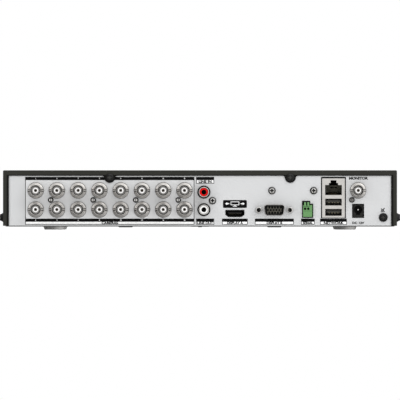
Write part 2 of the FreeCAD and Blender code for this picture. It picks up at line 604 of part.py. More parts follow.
def save_ground_terminal():
    """Screw with a captive washer that clamps the ground lead to the rear panel."""
    washer = tube(3.55, 2.1, 0, 0.8)
    save("ground_washer", on_panel(washer, GROUND_X, GROUND_Z))
    screw = pan_screw(3.0, 2.0, 1.95, 8.0)
    screw.translate(Vector(0, 0, 0.8))
    toward_back = FreeCAD.Rotation(Vector(0, 0, 1), Vector(0, -1, 0))
    lifted = FreeCAD.Placement(Vector(GROUND_X, PANEL_Y, GROUND_Z), toward_back)
    screw.Placement = lifted.multiply(screw.Placement)
    save("ground_screw", screw)


# ---------------------------------------------------------------- case screws
def save_case_screws():
    save("panel_screws", group([on_panel(pan_screw(2.85, 1.9, 1.45, 8.0), x, z) for x, z in PANEL_SCREWS]))
    black = pan_screw(3.7, 2.9, 1.5, 7.0, flange=0.8)
    solids = [faced(black, (side * HALF_WIDTH, y, SIDE_SCREW_Z), (side, 0, 0))
              for side in (-1, 1) for y in SIDE_SCREW_Y]
    rear = pan_screw(3.1, 2.0, 1.5, 7.0)
    solids += [faced(rear, (x, PANEL_Y - SHEET, TAB_Z), (0, -1, 0)) for x in (-TAB_X, TAB_X)]
    save("cover_screws", group(solids))


# ---------------------------------------------------------------- electronics
def save_main_board():
    low = BOARD_TOP_Z - BOARD_THICKNESS
    strip = box(BOARD_LEFT, BOARD_RIGHT, BOARD_BACK_Y, BOARD_FRONT_Y, low, BOARD_TOP_Z)
    wing = box(WING_LEFT, BOARD_RIGHT, BOARD_FRONT_Y, WING_FRONT_Y, low, BOARD_TOP_Z)
    holes = [cylinder(1.6, low - 1, BOARD_TOP_Z + 1, x, y) for x, y in STANDOFFS]
    save("main_board", less(fused([strip, wing]), holes))
    stud = revolved([(0, BASE_Z), (1.95, BASE_Z), (1.95, FLOOR_Z), (3.2, FLOOR_Z),
                     (3.2, low), (1.3, low), (1.3, 6.0), (0, 6.0)])
    save("board_standoffs", group([faced(stud, (x, y, 0), (0, 0, 1)) for x, y in STANDOFFS]))
    screw = pan_screw(2.6, 1.6, 1.25, 3.2)
    save("board_screws", group([faced(screw, (x, y, BOARD_TOP_Z), (0, 0, 1)) for x, y in STANDOFFS]))


HEAT_SINK = (104.0, -8.0)


def on_board(width, depth, height, x, y):
    return box(x - width / 2, x + width / 2, y - depth / 2, y + depth / 2, BOARD_TOP_Z, BOARD_TOP_Z + height)


def save_board_parts():
    """Chips, connectors, capacitors, battery and the processor's heat sink."""
    chips = [on_board(27, 27, 1.8, *HEAT_SINK)]
    chips += [on_board(12, 12, 1.2, x, -78.0) for x in (-114, -80, -46, -16)]
    chips += [on_board(9, 13, 1.1, x, 22.0) for x in (92, 106, 120)]
    chips += [on_board(16, 12, 5.5, LAN_X, -78.0), on_board(8, 8, 1.5, 86, -62)]
    chips += [on_board(10, 10, 4.5, 122, -52)]
    save("board_chips", group(chips))
    sink = box(-22, 22, -22, 22, 0, 2.5)
    fins = [box(x - 0.6, x + 0.6, -22, 22, 2.5, 14.0) for x in [-21.4 + 5.35 * k for k in range(9)]]
    save("heat_sink", faced(fused([sink] + fins), (*HEAT_SINK, BOARD_TOP_Z + 1.8), (0, 0, 1)))
    can = revolved([(0, 0), (3.1, 0), (3.1, 1.0), (2.85, 1.3), (3.1, 1.6), (3.1, 9.6), (2.8, 10.0),
                    (0, 10.0)])
    spots = ((126, -70), (126, -40), (132, -55), (114, -44), (-128, -78), (-98, -78), (-68, -82),
             (56, -80), (66, -80))
    save("capacitors", group([faced(can, (x, y, BOARD_TOP_Z), (0, 0, 1)) for x, y in spots]))
    cell = revolved([(0, 1.0), (8.0, 1.0), (9.6, 1.0), (10.0, 1.4), (10.0, 3.9), (9.7, 4.2), (0, 4.2)])
    save("coin_cell", faced(cell, (86.0, -40.0, BOARD_TOP_Z), (0, 0, 1)))


# ---------------------------------------------------------------- indicator unit behind the bezel
def save_indicator_unit():
    y0 = BEZEL_Y + 1.5
    board = box(-42, 42, y0, y0 + 1.6, PIPE_Z - 6, PIPE_Z + 8)
    save("indicator_board", board)
    lamps = [box(x - 1.4, x + 1.4, y0 + 1.6, y0 + 2.6, PIPE_Z - 1.4, PIPE_Z + 1.4) for x in PIPE_X]
    save("indicator_lamps", group(lamps))
    length = FRONT_Y - (y0 + 2.7)
    pipe = revolved([(0, 0), (1.9, 0), (1.9, length - 2.4), (1.4, length - 2.2), (1.4, length - 0.3),
                     (1.1, length), (0, length)])
    save("light_pipes", group([faced(pipe, (x, y0 + 2.7, PIPE_Z), (0, 1, 0)) for x in PIPE_X]))
    half, tall = WINDOW_HALF - 0.15, WINDOW_HEIGHT / 2 - 0.15
    face = box(WINDOW_X - half, WINDOW_X + half, FRONT_Y - 2.4, FRONT_Y - 0.4,
               WINDOW_Z - tall, WINDOW_Z + tall)
    rim = box(WINDOW_X - half - 1.5, WINDOW_X + half + 1.5, FRONT_Y - 3.4, FRONT_Y - 2.4,
              WINDOW_Z - tall - 1.0, WINDOW_Z + tall + 1.0)
    save("infrared_window", fused([face, rim]))


# ---------------------------------------------------------------- hard drive
PLATTER_Z = (17.0, 21.2)
PLATTER_THICKNESS = 1.27
PLATTER_RADIUS = 47.5
PIVOT_PIN = 2.5


def save_hard_drive():
    """Cast case with a round well, lid, circuit board, two platters on a hub, and the head arm."""
    case_low, case_high = DRIVE_BOTTOM_Z + 2.6, DRIVE_TOP_Z - 1.2
    well_low = 14.0
    body = box(-DRIVE_HALF, DRIVE_HALF, DRIVE_BACK_Y, DRIVE_FRONT_Y, case_low, case_high)
    body = rounded_along(body, (0, 0, 1), 3.0)
    disc_well = cylinder(PLATTER_RADIUS + 1.0, well_low, case_high + 1, 0, SPINDLE_Y)
    arm_bay = box(-40, 44, DRIVE_BACK_Y + 5, PIVOT[1] + 26, well_low, case_high + 1)
    spindle = cylinder(4.0, well_low - 1, 26.0, 0, SPINDLE_Y)
    pivot = cylinder(PIVOT_PIN, well_low - 1, 26.0, *PIVOT)
    side_holes = [cylinder_x(1.3, side * DRIVE_HALF - 4, side * DRIVE_HALF + 4, y, DRIVE_BOTTOM_Z + 6.35)
                  for side in (-1, 1) for y in RAIL_HOLES_Y]
    notch = box(-22.1, 24.1, DRIVE_BACK_Y - 1, DRIVE_BACK_Y + 1.1, case_low - 1, DRIVE_BOTTOM_Z + 6.1)
    save("drive_case", less(less(body, [disc_well, arm_bay, notch]).fuse([spindle, pivot]), side_holes))
    lid = rounded_along(box(-DRIVE_HALF + 0.5, DRIVE_HALF - 0.5, DRIVE_BACK_Y + 0.5, DRIVE_FRONT_Y - 0.5,
                            case_high, DRIVE_TOP_Z - 0.2), (0, 0, 1), 3.0)
    dish = cylinder(40.0, DRIVE_TOP_Z - 0.6, DRIVE_TOP_Z + 1, 0, SPINDLE_Y)
    save("drive_lid", less(lid, [dish]))
    board = box(-48, 48, DRIVE_BACK_Y + 1, DRIVE_BACK_Y + 70, DRIVE_BOTTOM_Z, DRIVE_BOTTOM_Z + 1.6)
    chips = box(-20, 20, DRIVE_BACK_Y + 20, DRIVE_BACK_Y + 55, DRIVE_BOTTOM_Z + 1.6, DRIVE_BOTTOM_Z + 2.5)
    socket = box(-22, 24, DRIVE_BACK_Y - 1.5, DRIVE_BACK_Y + 1, DRIVE_BOTTOM_Z, DRIVE_BOTTOM_Z + 6.0)
    save("drive_board", fused([board, chips, socket]))
    save("drive_platters", platters())
    save("drive_arm", head_arm())


def platters():
    hub = tube(12.5, 4.05, 15.4, 24.6, 0, SPINDLE_Y)
    discs = [tube(PLATTER_RADIUS, 4.05, z, z + PLATTER_THICKNESS, 0, SPINDLE_Y) for z in PLATTER_Z]
    return fused([hub] + discs)


def head_arm():
    """Three arms on a pivot sleeve, one on each side of the platters and one between them."""
    reach = 50.0
    parked = math.radians(18.0)
    toward = math.atan2(SPINDLE_Y - PIVOT[1], -PIVOT[0])
    angle = toward - parked
    sleeve = tube(7.0, PIVOT_PIN + 0.05, 14.6, 25.4)
    arms = []
    for z in (15.4, 19.2, 23.4):
        arms.append(prism([(3, -6), (reach, -1.2), (reach, 1.2), (3, 6)], z, z + 1.0))
    coil = prism([(-3, -6), (-18, -11), (-18, 11), (-3, 6)], 18.0, 21.5)
    arm = fused([sleeve, coil] + arms).cut(cylinder(PIVOT_PIN + 0.05, 0, 40))
    arm.Placement = FreeCAD.Placement(Vector(PIVOT[0], PIVOT[1], 0),
                                      FreeCAD.Rotation(Vector(0, 0, 1), math.degrees(angle)))
    return arm


RAIL_HOLES_Y = (DRIVE_BACK_Y + 28.5, DRIVE_BACK_Y + 130.0)
RAIL_THICKNESS = 1.2
RAIL_BACK_Y, RAIL_FRONT_Y = RAIL_HOLES_Y[0] - 6.0, WELL_Y[1] + 8.0


def save_drive_rails():
    """Two angle brackets: screwed to the drive's sides and, through their feet, to the floor."""
    solids, screws = [], []
    side_screw = pan_screw(2.9, 1.8, 1.25, 4.6)
    floor_screw = pan_screw(2.9, 1.8, 1.4, 3.0)
    for side in (-1, 1):
        near, far = DRIVE_HALF + FIT_GAP, WELL_X + 4.4
        wall = box(near, near + RAIL_THICKNESS, RAIL_BACK_Y, RAIL_FRONT_Y, FLOOR_Z, 19.0)
        foot = box(near, far, RAIL_BACK_Y, RAIL_FRONT_Y, FLOOR_Z, FLOOR_Z + RAIL_THICKNESS)
        holes = [cylinder_x(1.6, near - 1, near + 3, y, DRIVE_BOTTOM_Z + 6.35) for y in RAIL_HOLES_Y]
        holes += [cylinder(1.6, FLOOR_Z - 1, FLOOR_Z + 3, WELL_X, y) for y in WELL_Y]
        rail = less(fused([wall, foot]), holes)
        if side < 0:
            rail = rail.mirror(Vector(), Vector(1, 0, 0))
        solids.append(rail)
        outside = side * (near + RAIL_THICKNESS)
        screws += [faced(side_screw, (outside, y, DRIVE_BOTTOM_Z + 6.35), (side, 0, 0))
                   for y in RAIL_HOLES_Y]
        screws += [faced(floor_screw, (side * WELL_X, y, FLOOR_Z + RAIL_THICKNESS), (0, 0, 1))
                   for y in WELL_Y]
    save("drive_rails", group(solids))
    save("drive_screws", group(screws))


# ---------------------------------------------------------------- fan
FAN_SHAFT = 1.5
BLADES = 7


def save_fan():
    """Axial fan that blows out through the left vents: frame, rotor and four screws."""
    half = FAN_SIZE / 2
    square = rounded_along(box(-half, half, -half, half, 0, FAN_THICKNESS), (0, 0, 1), 3.0)
    bore = cylinder(half - 1.2, -1, FAN_THICKNESS + 1)
    screw_holes = [cylinder(1.65, -1, FAN_THICKNESS + 1, sx * FAN_SCREW_PITCH / 2, sy * FAN_SCREW_PITCH / 2)
                   for sx in (-1, 1) for sy in (-1, 1)]
    frame = square.cut([bore] + screw_holes)
    hub = cylinder(9.0, FAN_THICKNESS - 2.4, FAN_THICKNESS)
    struts = []
    for k in range(3):
        strut = box(6, half - 0.6, -1.0, 1.0, FAN_THICKNESS - 1.6, FAN_THICKNESS)
        strut.rotate(Vector(), Vector(0, 0, 1), 45 + 120 * k)
        struts.append(strut)
    shaft = cylinder(FAN_SHAFT, 2.0, FAN_THICKNESS - 2.0)
    frame = less(fused([frame.fuse(struts), hub, shaft]), screw_holes)
    inward = (1, 0, 0)
    save("fan_frame", faced(frame, (FAN_X, FAN_Y, FAN_Z), inward))
    cup = cylinder(9.5, 0.8, 7.2).cut(cylinder(FAN_SHAFT + SEAT_GAP, 1.8, 8.0))
    blades = []
    for k in range(BLADES):
        blade = box(8.8, 19.0, -4.2, 4.2, -0.5, 0.5)
        blade.rotate(Vector(), Vector(1, 0, 0), 38)
        blade.translate(Vector(0, 0, 4.0))
        blade.rotate(Vector(), Vector(0, 0, 1), 360 / BLADES * k)
        blades.append(blade.common(cylinder(half - 1.9, 0.6, 7.4)).cut(cylinder(9.0, 0, 8)))
    save("fan_rotor", faced(fused([cup] + blades), (FAN_X, FAN_Y, FAN_Z), inward))
    screw = pan_screw(2.8, 1.6, 1.4, FAN_THICKNESS + 0.8)
    screws = [faced(screw, (FAN_X + FAN_THICKNESS, y, z), inward) for y, z in fan_screw_centres()]
    save("fan_screws", group(screws))


# ---------------------------------------------------------------- internal leads
def lead_path(points):
    """Straight runs joined by tangent arcs, each as large as its two runs allow."""
    points = [Vector(*p) for p in points]
    edges = []
    start = points[0]
    for before, corner, after in zip(points, points[1:], points[2:]):
        towards, away = (before - corner), (after - corner)
        shorter = min(towards.Length, away.Length)
        towards.normalize()
        away.normalize()
        half_turn = (math.pi - math.acos(max(-1.0, min(1.0, towards.dot(away))))) / 2
        reach = 0.45 * shorter
        radius = reach / math.tan(half_turn)
        entry, leave = corner + towards * reach, corner + away * reach
        middle_way = towards + away
        middle_way.normalize()
        centre = corner + middle_way * (radius / math.cos(half_turn))
        middle = centre - middle_way * radius
        edges += [Part.LineSegment(start, entry).toShape(), Part.Arc(entry, middle, leave).toShape()]
        start = leave
    edges.append(Part.LineSegment(start, points[-1]).toShape())
    return Part.Wire(edges)


def lead(points, radius):
    direction = Vector(*points[1]) - Vector(*points[0])
    section = Part.Wire(Part.Circle(Vector(*points[0]), direction, radius).toShape())
    return lead_path(points).makePipeShell([section], True, False)


def save_leads():
    """Drive data and power leads, the indicator lead and the fan lead, with their plugs."""
    socket_z = DRIVE_BOTTOM_Z + 3.0
    plug_y = DRIVE_BACK_Y - 1.5 - SEAT_GAP
    exit_y = plug_y - 4.0
    header_y, header_top = -77.0, BOARD_TOP_Z + 9
    data_plug = box(6, 22, exit_y, plug_y, DRIVE_BOTTOM_Z, DRIVE_BOTTOM_Z + 6)
    data_header = on_board(15, 7, 9, 40.0, header_y)
    data_route = [(14, exit_y, socket_z), (14, exit_y - 5.5, socket_z), (18, exit_y - 5.5, 22), (32, -68, 33),
                  (40, header_y, 32), (40, header_y, header_top)]
    save("drive_data_cable", group([data_plug, data_header, lead(data_route, 1.5)]))
    power_plug = box(-20, 2, exit_y, plug_y, DRIVE_BOTTOM_Z, DRIVE_BOTTOM_Z + 6)
    power_header = on_board(15, 7, 9, -30.0, header_y)
    power_route = [(-9, exit_y, socket_z), (-9, exit_y - 5.5, socket_z), (-12, exit_y - 5.5, 22),
                   (-22, -68, 33), (-30, header_y, 32), (-30, header_y, header_top)]
    save("drive_power_cable", group([power_plug, power_header, lead(power_route, 1.7)]))
    front_header = on_board(8, 5, 6, 132.0, 10.0)
    board_plug = box(31, 39, BEZEL_Y - 0.6, BEZEL_Y + 1.45, 21.0, 26.0)
    indicator_route = [(132, 10, BOARD_TOP_Z + 6), (132, 10, 24), (140, 24, 27), (142, 52, 24), (136, 82, 23),
                       (112, 97, 23), (72, 99, 23), (48, 98, 23.5), (35, 97, 23.5), (35, BEZEL_Y - 0.6, 23.5)]
    save("indicator_cable", group([front_header, board_plug, lead(indicator_route, 1.3)]))
    fan_header = on_board(6, 5, 6, -134.0, -86.0)
    fan_back_y = FAN_Y - FAN_SIZE / 2 - SEAT_GAP
    fan_route = [(-134, -86, BOARD_TOP_Z + 6), (-134, -86, 25), (-138, -76, 34), (-143, -66, 38),
                 (-149, -62, 39), (-149, fan_back_y, 39)]
    save("fan_lead", group([fan_header, lead(fan_route, 0.9)]))


def main():
    os.makedirs("parts", exist_ok=True)
    save("chassis_base", chassis_base())
    save("top_cover", top_cover())
    save("front_bezel", front_bezel())
    save("feet", feet())
    save_coaxial_sockets()
    save_audio_sockets()
    save_digital_video_socket()
    save_vga_socket()
    save_serial_terminal()
    save_lan_usb_stack()
    save_power_inlet()
    save_ground_terminal()
    save_case_screws()
    save_main_board()
    save_board_parts()
    save_indicator_unit()
    save_hard_drive()
    save_drive_rails()
    save_fan()
    save_leads()


main()
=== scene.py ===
"""Looks of the video recorder: materials on every CAD node, print and small details, light and camera.

Lengths of the part are written in millimetres and turned into metres, Blender's unit, by MM. Lights are
placed in metres. The frame is the CAD frame: the rear panel faces -Y, +X is right, +Z is up.
"""

import math

import bmesh
import bpy
from mathutils import Euler, Matrix, Vector


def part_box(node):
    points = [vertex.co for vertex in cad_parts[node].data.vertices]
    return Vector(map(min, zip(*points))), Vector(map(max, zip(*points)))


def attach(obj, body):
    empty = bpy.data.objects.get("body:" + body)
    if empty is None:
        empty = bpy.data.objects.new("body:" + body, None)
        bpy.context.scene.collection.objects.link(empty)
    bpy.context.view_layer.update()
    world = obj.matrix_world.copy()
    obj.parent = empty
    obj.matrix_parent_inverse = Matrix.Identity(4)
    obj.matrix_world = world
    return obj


# ---------------------------------------------------------------- the frame and what follows from it
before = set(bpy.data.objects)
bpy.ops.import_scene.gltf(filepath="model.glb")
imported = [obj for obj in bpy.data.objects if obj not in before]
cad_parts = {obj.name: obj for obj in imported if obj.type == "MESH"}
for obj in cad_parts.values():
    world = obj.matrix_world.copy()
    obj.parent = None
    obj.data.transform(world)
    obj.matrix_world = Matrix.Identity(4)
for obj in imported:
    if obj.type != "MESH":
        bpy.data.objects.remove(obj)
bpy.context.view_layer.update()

MM = 0.001
ROOT = "chassis"
PANEL_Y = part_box("chassis_base")[0].y  # metres, the rear panel's outer face
FAR = 1.0  # metres, beyond the whole object: a limit that is never met, or the pitch of a row with one member

# places on the part in millimetres: limits of shades, and sockets, screws and lamps as in the CAD model
LIP_SHADE_Z, LIP_WIDTH = 43.8, 2.9
TAB_X, TAB_Z, TAB_SHADE_RADIUS = 72.2, 41.8, 3.3
BEND_SHADE_Z = 3.3
BNC_FIRST_X, BNC_PITCH, BNC_COLUMNS = -131.4, 17.0, 8
BNC_ROWS_Z = (16.15, 31.4)
BLOCK_SCREW_FIRST_X, BLOCK_SCREW_PITCH, BLOCK_SCREW_COUNT = -119.4, 34.0, 4
BLOCK_SCREW_Z, OUTPUT_SCREW_X = 23.775, 121.4
PANEL_SCREWS = ((57.5, 31.2), (90.9, 31.2), (10.0, 23.2))
TERMINAL_X, TERMINAL_Z = 86.05, 16.75
WIRE_OPENINGS = (-2.05, 0.5)
NETWORK_CAGE = "lan_usb_cage"
USB_OPENINGS_Z = (11.1, 19.3)
LAMPS_X = (24.0, 0.0, -24.0)

# print on the rear panel, in millimetres
PRINT_HEIGHT = 0.04
LINE = 0.5
BAR_LOW, BAR_HIGH = (6.35, 8.85), (39.65, 42.2)
LABEL_FLOOR, UPPER_LABEL_FLOOR = 4.1, 36.9
WORD_HEIGHT, NUMBER_HEIGHT, NUMBER_STRETCH = 1.9, 1.2, 0.6
DISPLAY_PLATE, PLATE_CORNER = (18.4, 37.5, 17.4, 23.7), 1.0
DISPLAY_SIGN = (27.95, 20.6)
EARTH_SIGN, EARTH_TILT = (146.4, 15.9), math.radians(-40)
GROUPS = {
    "inputs": (-139.8, -4.5),
    "line": (-3.1, 11.3),
    "display_a": (17.6, 38.1),
    "display_b": (43.9, 75.0),
    "serial": (80.8, 91.7),
    "network": (96.0, 117.4),
}

# near-black, used for painted shade in holes, bores and along edges, and as the colour of black ink and of
# the network insert's face
HOLE_BLACK = (0.002, 0.002, 0.002)


def centre(node):
    low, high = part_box(node)
    return (low + high) / 2


# ---------------------------------------------------------------- shader helpers
class Paint:
    """A Principled material whose colour, roughness and bump come from small node chains."""

    def __init__(self, name, colour, roughness, metallic=0.0, **sockets):
        self.material = bpy.data.materials.new(name)
        self.material.use_nodes = True
        self.tree = self.material.node_tree
        self.shader = self.tree.nodes["Principled BSDF"]
        self.shader.inputs["Base Color"].default_value = (*colour, 1.0)
        self.shader.inputs["Roughness"].default_value = roughness
        self.shader.inputs["Metallic"].default_value = metallic
        for socket, value in sockets.items():
            self.shader.inputs[socket.replace("_", " ")].default_value = value
        self.place = self.node("ShaderNodeTexCoord").outputs["Object"]
        self.colour = None
        self.base = (*colour, 1.0)
        self.normal = None
        self.roughness = roughness

    def node(self, kind, **settings):
        made = self.tree.nodes.new(kind)
        for key, value in settings.items():
            setattr(made, key, value)
        return made

    def join(self, source, target):
        self.tree.links.new(source, target)

    def stretched(self, scale):
        """The object's own coordinates, scaled by three factors, so that a pattern can run along one axis."""
        mapping = self.node("ShaderNodeMapping")
        mapping.inputs["Scale"].default_value = scale
        self.join(self.place, mapping.inputs["Vector"])
        return mapping.outputs["Vector"]

    def noise(self, size, detail, stretch=(1, 1, 1)):
        """Noise whose features are about this size in metres."""
        texture = self.node("ShaderNodeTexNoise")
        texture.inputs["Scale"].default_value = 1.0 / size
        texture.inputs["Detail"].default_value = detail
        self.join(self.stretched(stretch), texture.inputs["Vector"])
        return texture.outputs["Fac"]

    def ramp(self, factor, low, high, start=0.35, end=0.65):
        """A factor spread between two grey values."""
        ramp = self.node("ShaderNodeValToRGB")
        ramp.color_ramp.elements[0].position = start
        ramp.color_ramp.elements[1].position = end
        for element, value in zip(ramp.color_ramp.elements, (low, high)):
            element.color = (value, value, value, 1.0)
        self.join(factor, ramp.inputs["Fac"])
        return ramp.outputs["Color"]

    def mixed_colour(self, **settings):
        """A mix node whose A is the colour so far, whose B is free, and whose result is the new colour."""
        mix = self.node("ShaderNodeMix", data_type="RGBA", **settings)
        if self.colour is None:
            mix.inputs["A"].default_value = self.base
        else:
            self.join(self.colour, mix.inputs["A"])
        self.colour = mix.outputs["Result"]
        self.join(self.colour, self.shader.inputs["Base Color"])
        return mix

    def multiply(self, shade):
        """The colour times a shade."""
        mix = self.mixed_colour(blend_type="MULTIPLY")
        mix.inputs["Factor"].default_value = 1.0
        self.join(shade, mix.inputs["B"])

    def overlay(self, mask, colour):
        """Another colour where the mask is 1."""
        mix = self.mixed_colour()
        self.join(mask, mix.inputs["Factor"])
        mix.inputs["B"].default_value = (*colour, 1.0)

    def blotch(self, size, amount):
        """The colour drifts lighter and darker by this share."""
        self.multiply(self.ramp(self.noise(size, 3.0), 1 - amount, 1 + amount, 0.3, 0.7))

    def sheen_drift(self, size, spread, stretch=(1, 1, 1)):
        """Roughness drifts by this much either way."""
        drift = self.ramp(self.noise(size, 3.0, stretch), self.roughness - spread, self.roughness + spread)
        self.join(drift, self.shader.inputs["Roughness"])

    def bump(self, height, depth, strength=1.0):
        """Relief of this depth in metres from a height between 0 and 1, on top of the relief so far."""
        node = self.node("ShaderNodeBump")
        node.inputs["Distance"].default_value = depth
        node.inputs["Strength"].default_value = strength
        self.join(height, node.inputs["Height"])
        if self.normal is not None:
            self.join(self.normal, node.inputs["Normal"])
        self.normal = node.outputs["Normal"]
        self.join(self.normal, self.shader.inputs["Normal"])

    def grain(self, size, depth, strength, stretch=(1, 1, 1)):
        """Irregular relief with features about this size in metres."""
        self.bump(self.noise(size, 2.0, stretch), depth, strength)

    def crevice_shade(self, reach, dark, start=0.35, end=0.9):
        """Painted shade: darkens corners and gaps narrower than this reach."""
        occlusion = self.node("ShaderNodeAmbientOcclusion", samples=8)
        occlusion.inputs["Distance"].default_value = reach
        self.multiply(self.ramp(occlusion.outputs["AO"], dark, 1.0, start, end))

    def coordinate(self, axis):
        """One of the object's own coordinates."""
        split = self.node("ShaderNodeSeparateXYZ")
        self.join(self.place, split.inputs["Vector"])
        return split.outputs[axis]

    def span(self, axis, low, high, fold=False):
        """1 where a coordinate, or its size when folded, lies between two limits."""
        return self.within(self.coordinate(axis), low, high, fold)

    def repeated(self, axis, origin, pitch=FAR):
        """A coordinate measured from the nearest member of a row with this pitch."""
        shifted = self.node("ShaderNodeMath", operation="SUBTRACT")
        self.join(self.coordinate(axis), shifted.inputs[0])
        shifted.inputs[1].default_value = origin
        wrapped = self.node("ShaderNodeMath", operation="WRAP")
        self.join(shifted.outputs["Value"], wrapped.inputs[0])
        wrapped.inputs[1].default_value = pitch / 2
        wrapped.inputs[2].default_value = -pitch / 2
        return wrapped.outputs["Value"]

    def within(self, value, low, high, fold=False):
        """1 where a value, or its size when folded, lies between two limits."""
        if fold:
            size = self.node("ShaderNodeMath", operation="ABSOLUTE")
            self.join(value, size.inputs[0])
            value = size.outputs["Value"]
        middle = self.node("ShaderNodeMath", operation="COMPARE")
        self.join(value, middle.inputs[0])
        middle.inputs[1].default_value = (low + high) / 2
        middle.inputs[2].default_value = (high - low) / 2
        return middle.outputs["Value"]

    def distance(self, first, second):
        """Length of a two-part offset."""
        pair = self.node("ShaderNodeCombineXYZ")
        self.join(first, pair.inputs["X"])
        self.join(second, pair.inputs["Z"])
        length = self.node("ShaderNodeVectorMath", operation="LENGTH")
        self.join(pair.outputs["Vector"], length.inputs[0])
        return length.outputs["Value"]

    def both(self, first, second):
        """The product of two masks."""
        product = self.node("ShaderNodeMath", operation="MULTIPLY")
        self.join(first, product.inputs[0])
        self.join(second, product.inputs[1])
        return product.outputs["Value"]

    def around(self, x, z):
        """Distance in metres from the line along Y through x, z."""
        return self.distance(self.repeated("X", x), self.repeated("Z", z))

    def spot(self, x, z, radius, colour):
        """Another colour inside a radius round the line along Y through x, z."""
        self.overlay(self.within(self.around(x, z), -FAR, radius), colour)

    def recess(self, x, z, radius, top_y, colour):
        """Another colour inside the recess of a screw that faces -Y, below its top face."""
        depth = self.span("Y", top_y + 0.3 * MM, top_y + 2.5 * MM)
        self.overlay(self.both(self.within(self.around(x, z), -FAR, radius), depth), colour)

    def soft_edges(self, radius):
        """Rounds the look of sharp edges."""
        bevel = self.node("ShaderNodeBevel", samples=6)
        bevel.inputs["Radius"].default_value = radius
        self.normal = bevel.outputs["Normal"]
        self.join(self.normal, self.shader.inputs["Normal"])


# ---------------------------------------------------------------- materials
def powder_coat(name, colour, roughness, grain_depth, shine):
    """Baked powder paint: fine orange-peel grain, slight cloudiness, softened sheet edges."""
    paint = Paint(name, colour, roughness, Specular_IOR_Level=shine)
    paint.soft_edges(0.3 * MM)
    paint.blotch(70 * MM, 0.02)
    paint.sheen_drift(45 * MM, 0.012)
    paint.grain(0.5 * MM, grain_depth, 0.4)
    return paint


def panel_coat():
    """Light grey coat of the base; painted light brightens the field of the camera sockets, painted shade
    darkens its bottom bend and its corners.
    """
    paint = powder_coat("panel_coat", (0.575, 0.58, 0.585), 0.55, 0.03 * MM, 0.3)
    x0, x1 = (x * MM for x in GROUPS["inputs"])
    # painted light: the field round the camera sockets is painted lighter, against the shade the sockets cast
    field = paint.both(paint.span("X", x0, x1), paint.span("Z", BAR_LOW[1] * MM, BAR_HIGH[0] * MM))
    face = paint.span("Y", PANEL_Y - FAR, PANEL_Y + 0.3 * MM)
    paint.overlay(paint.both(field, face), (0.69, 0.695, 0.70))
    # painted shade along the bottom bend
    paint.overlay(paint.span("Z", -1.0 * MM, BEND_SHADE_Z * MM), (0.085, 0.085, 0.085))
    # painted shade in corners and gaps
    paint.crevice_shade(2.0 * MM, 0.9, 0.3, 0.8)
    return paint.material


def cover_coat():
    """Dark coat of the cover, with painted shade making it nearly black inside its lip round the panel and
    darker in its two screw tabs.
    """
    paint = powder_coat("cover_coat", (0.026, 0.026, 0.0215), 0.5, 0.06 * MM, 0.15)
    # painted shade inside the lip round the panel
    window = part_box("top_cover")[1].x - LIP_WIDTH * MM
    height = paint.span("Z", 0.0, LIP_SHADE_Z * MM)
    paint.overlay(paint.both(paint.span("X", -1.0 * MM, window, fold=True), height), (0.003, 0.003, 0.002))
    # painted shade in the two screw tabs
    tab = paint.distance(paint.repeated("X", -TAB_X * MM, 2 * TAB_X * MM), paint.repeated("Z", TAB_Z * MM))
    paint.overlay(paint.within(tab, -FAR, TAB_SHADE_RADIUS * MM), (0.012, 0.012, 0.010))
    return paint.material


def socket_nickel(name, first_x):
    """Satin nickel of a coaxial socket, with painted shade in its crevices, in the barrel's depth, beside the
    lugs and on the outer rim.
    """
    paint = Paint(name, (0.62, 0.60, 0.575), 0.42, metallic=0.85)
    paint.soft_edges(0.12 * MM)
    paint.blotch(3 * MM, 0.03)
    paint.sheen_drift(4 * MM, 0.03)
    # painted shade in crevices
    paint.crevice_shade(1.6 * MM, 0.25, 0.2, 0.75)
    across = paint.repeated("X", first_x, BNC_PITCH * MM)
    up = paint.repeated("Z", BNC_ROWS_Z[0] * MM, (BNC_ROWS_Z[1] - BNC_ROWS_Z[0]) * MM)
    radius = paint.distance(across, up)
    # painted shade on the flange's outer rim
    paint.overlay(paint.within(radius, 6.15 * MM, 6.5 * MM), (0.38, 0.37, 0.35))
    # painted shadows above and below each lug
    marks = paint.within(across, 4.3 * MM, 6.1 * MM, fold=True)
    paint.overlay(paint.both(paint.within(up, 0.42 * MM, 0.98 * MM, fold=True), marks), (0.05, 0.048, 0.045))
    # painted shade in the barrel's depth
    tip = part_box("bnc_jacks_lower_row")[0].y
    deep = paint.both(paint.within(radius, -FAR, 4.15 * MM), paint.span("Y", tip + 0.5 * MM, FAR))
    paint.overlay(deep, (0.20, 0.195, 0.185))
    return paint.material


def deep_plastic(name, rim, inside, depth, low_z, high_z):
    """Plastic that is dark on its front face, with painted light in its opening's depth and a line of painted
    shade along the latch.
    """
    paint = Paint(name, rim, 0.6, Specular_IOR_Level=0.05)
    # painted light: the opening's depth is painted lighter
    paint.overlay(paint.both(paint.span("Y", PANEL_Y + depth, FAR), paint.span("Z", low_z, high_z)), inside)
    # painted shade: a dark line along the latch slot, in the face colour
    middle = paint.repeated("X", centre(NETWORK_CAGE).x)
    line_z = low_z + 0.62 * (high_z - low_z)
    latch = paint.both(paint.within(middle, -2.9 * MM, 2.9 * MM), paint.span("Z", line_z, line_z + 0.7 * MM))
    paint.overlay(latch, rim)
    paint.blotch(2 * MM, 0.15)
    paint.grain(0.3 * MM, 0.02 * MM, 0.2)
    return paint.material


def bored_plastic(name, colour, insert):
    """Phono insert: coloured ring round a bore painted black as painted shade."""
    paint = Paint(name, colour, 0.4, Specular_IOR_Level=0.15)
    paint.soft_edges(0.1 * MM)
    paint.blotch(3 * MM, 0.04)
    middle = centre(insert)
    # painted shade in the bore
    paint.spot(middle.x, middle.z, 2.0 * MM, HOLE_BLACK)
    return paint.material


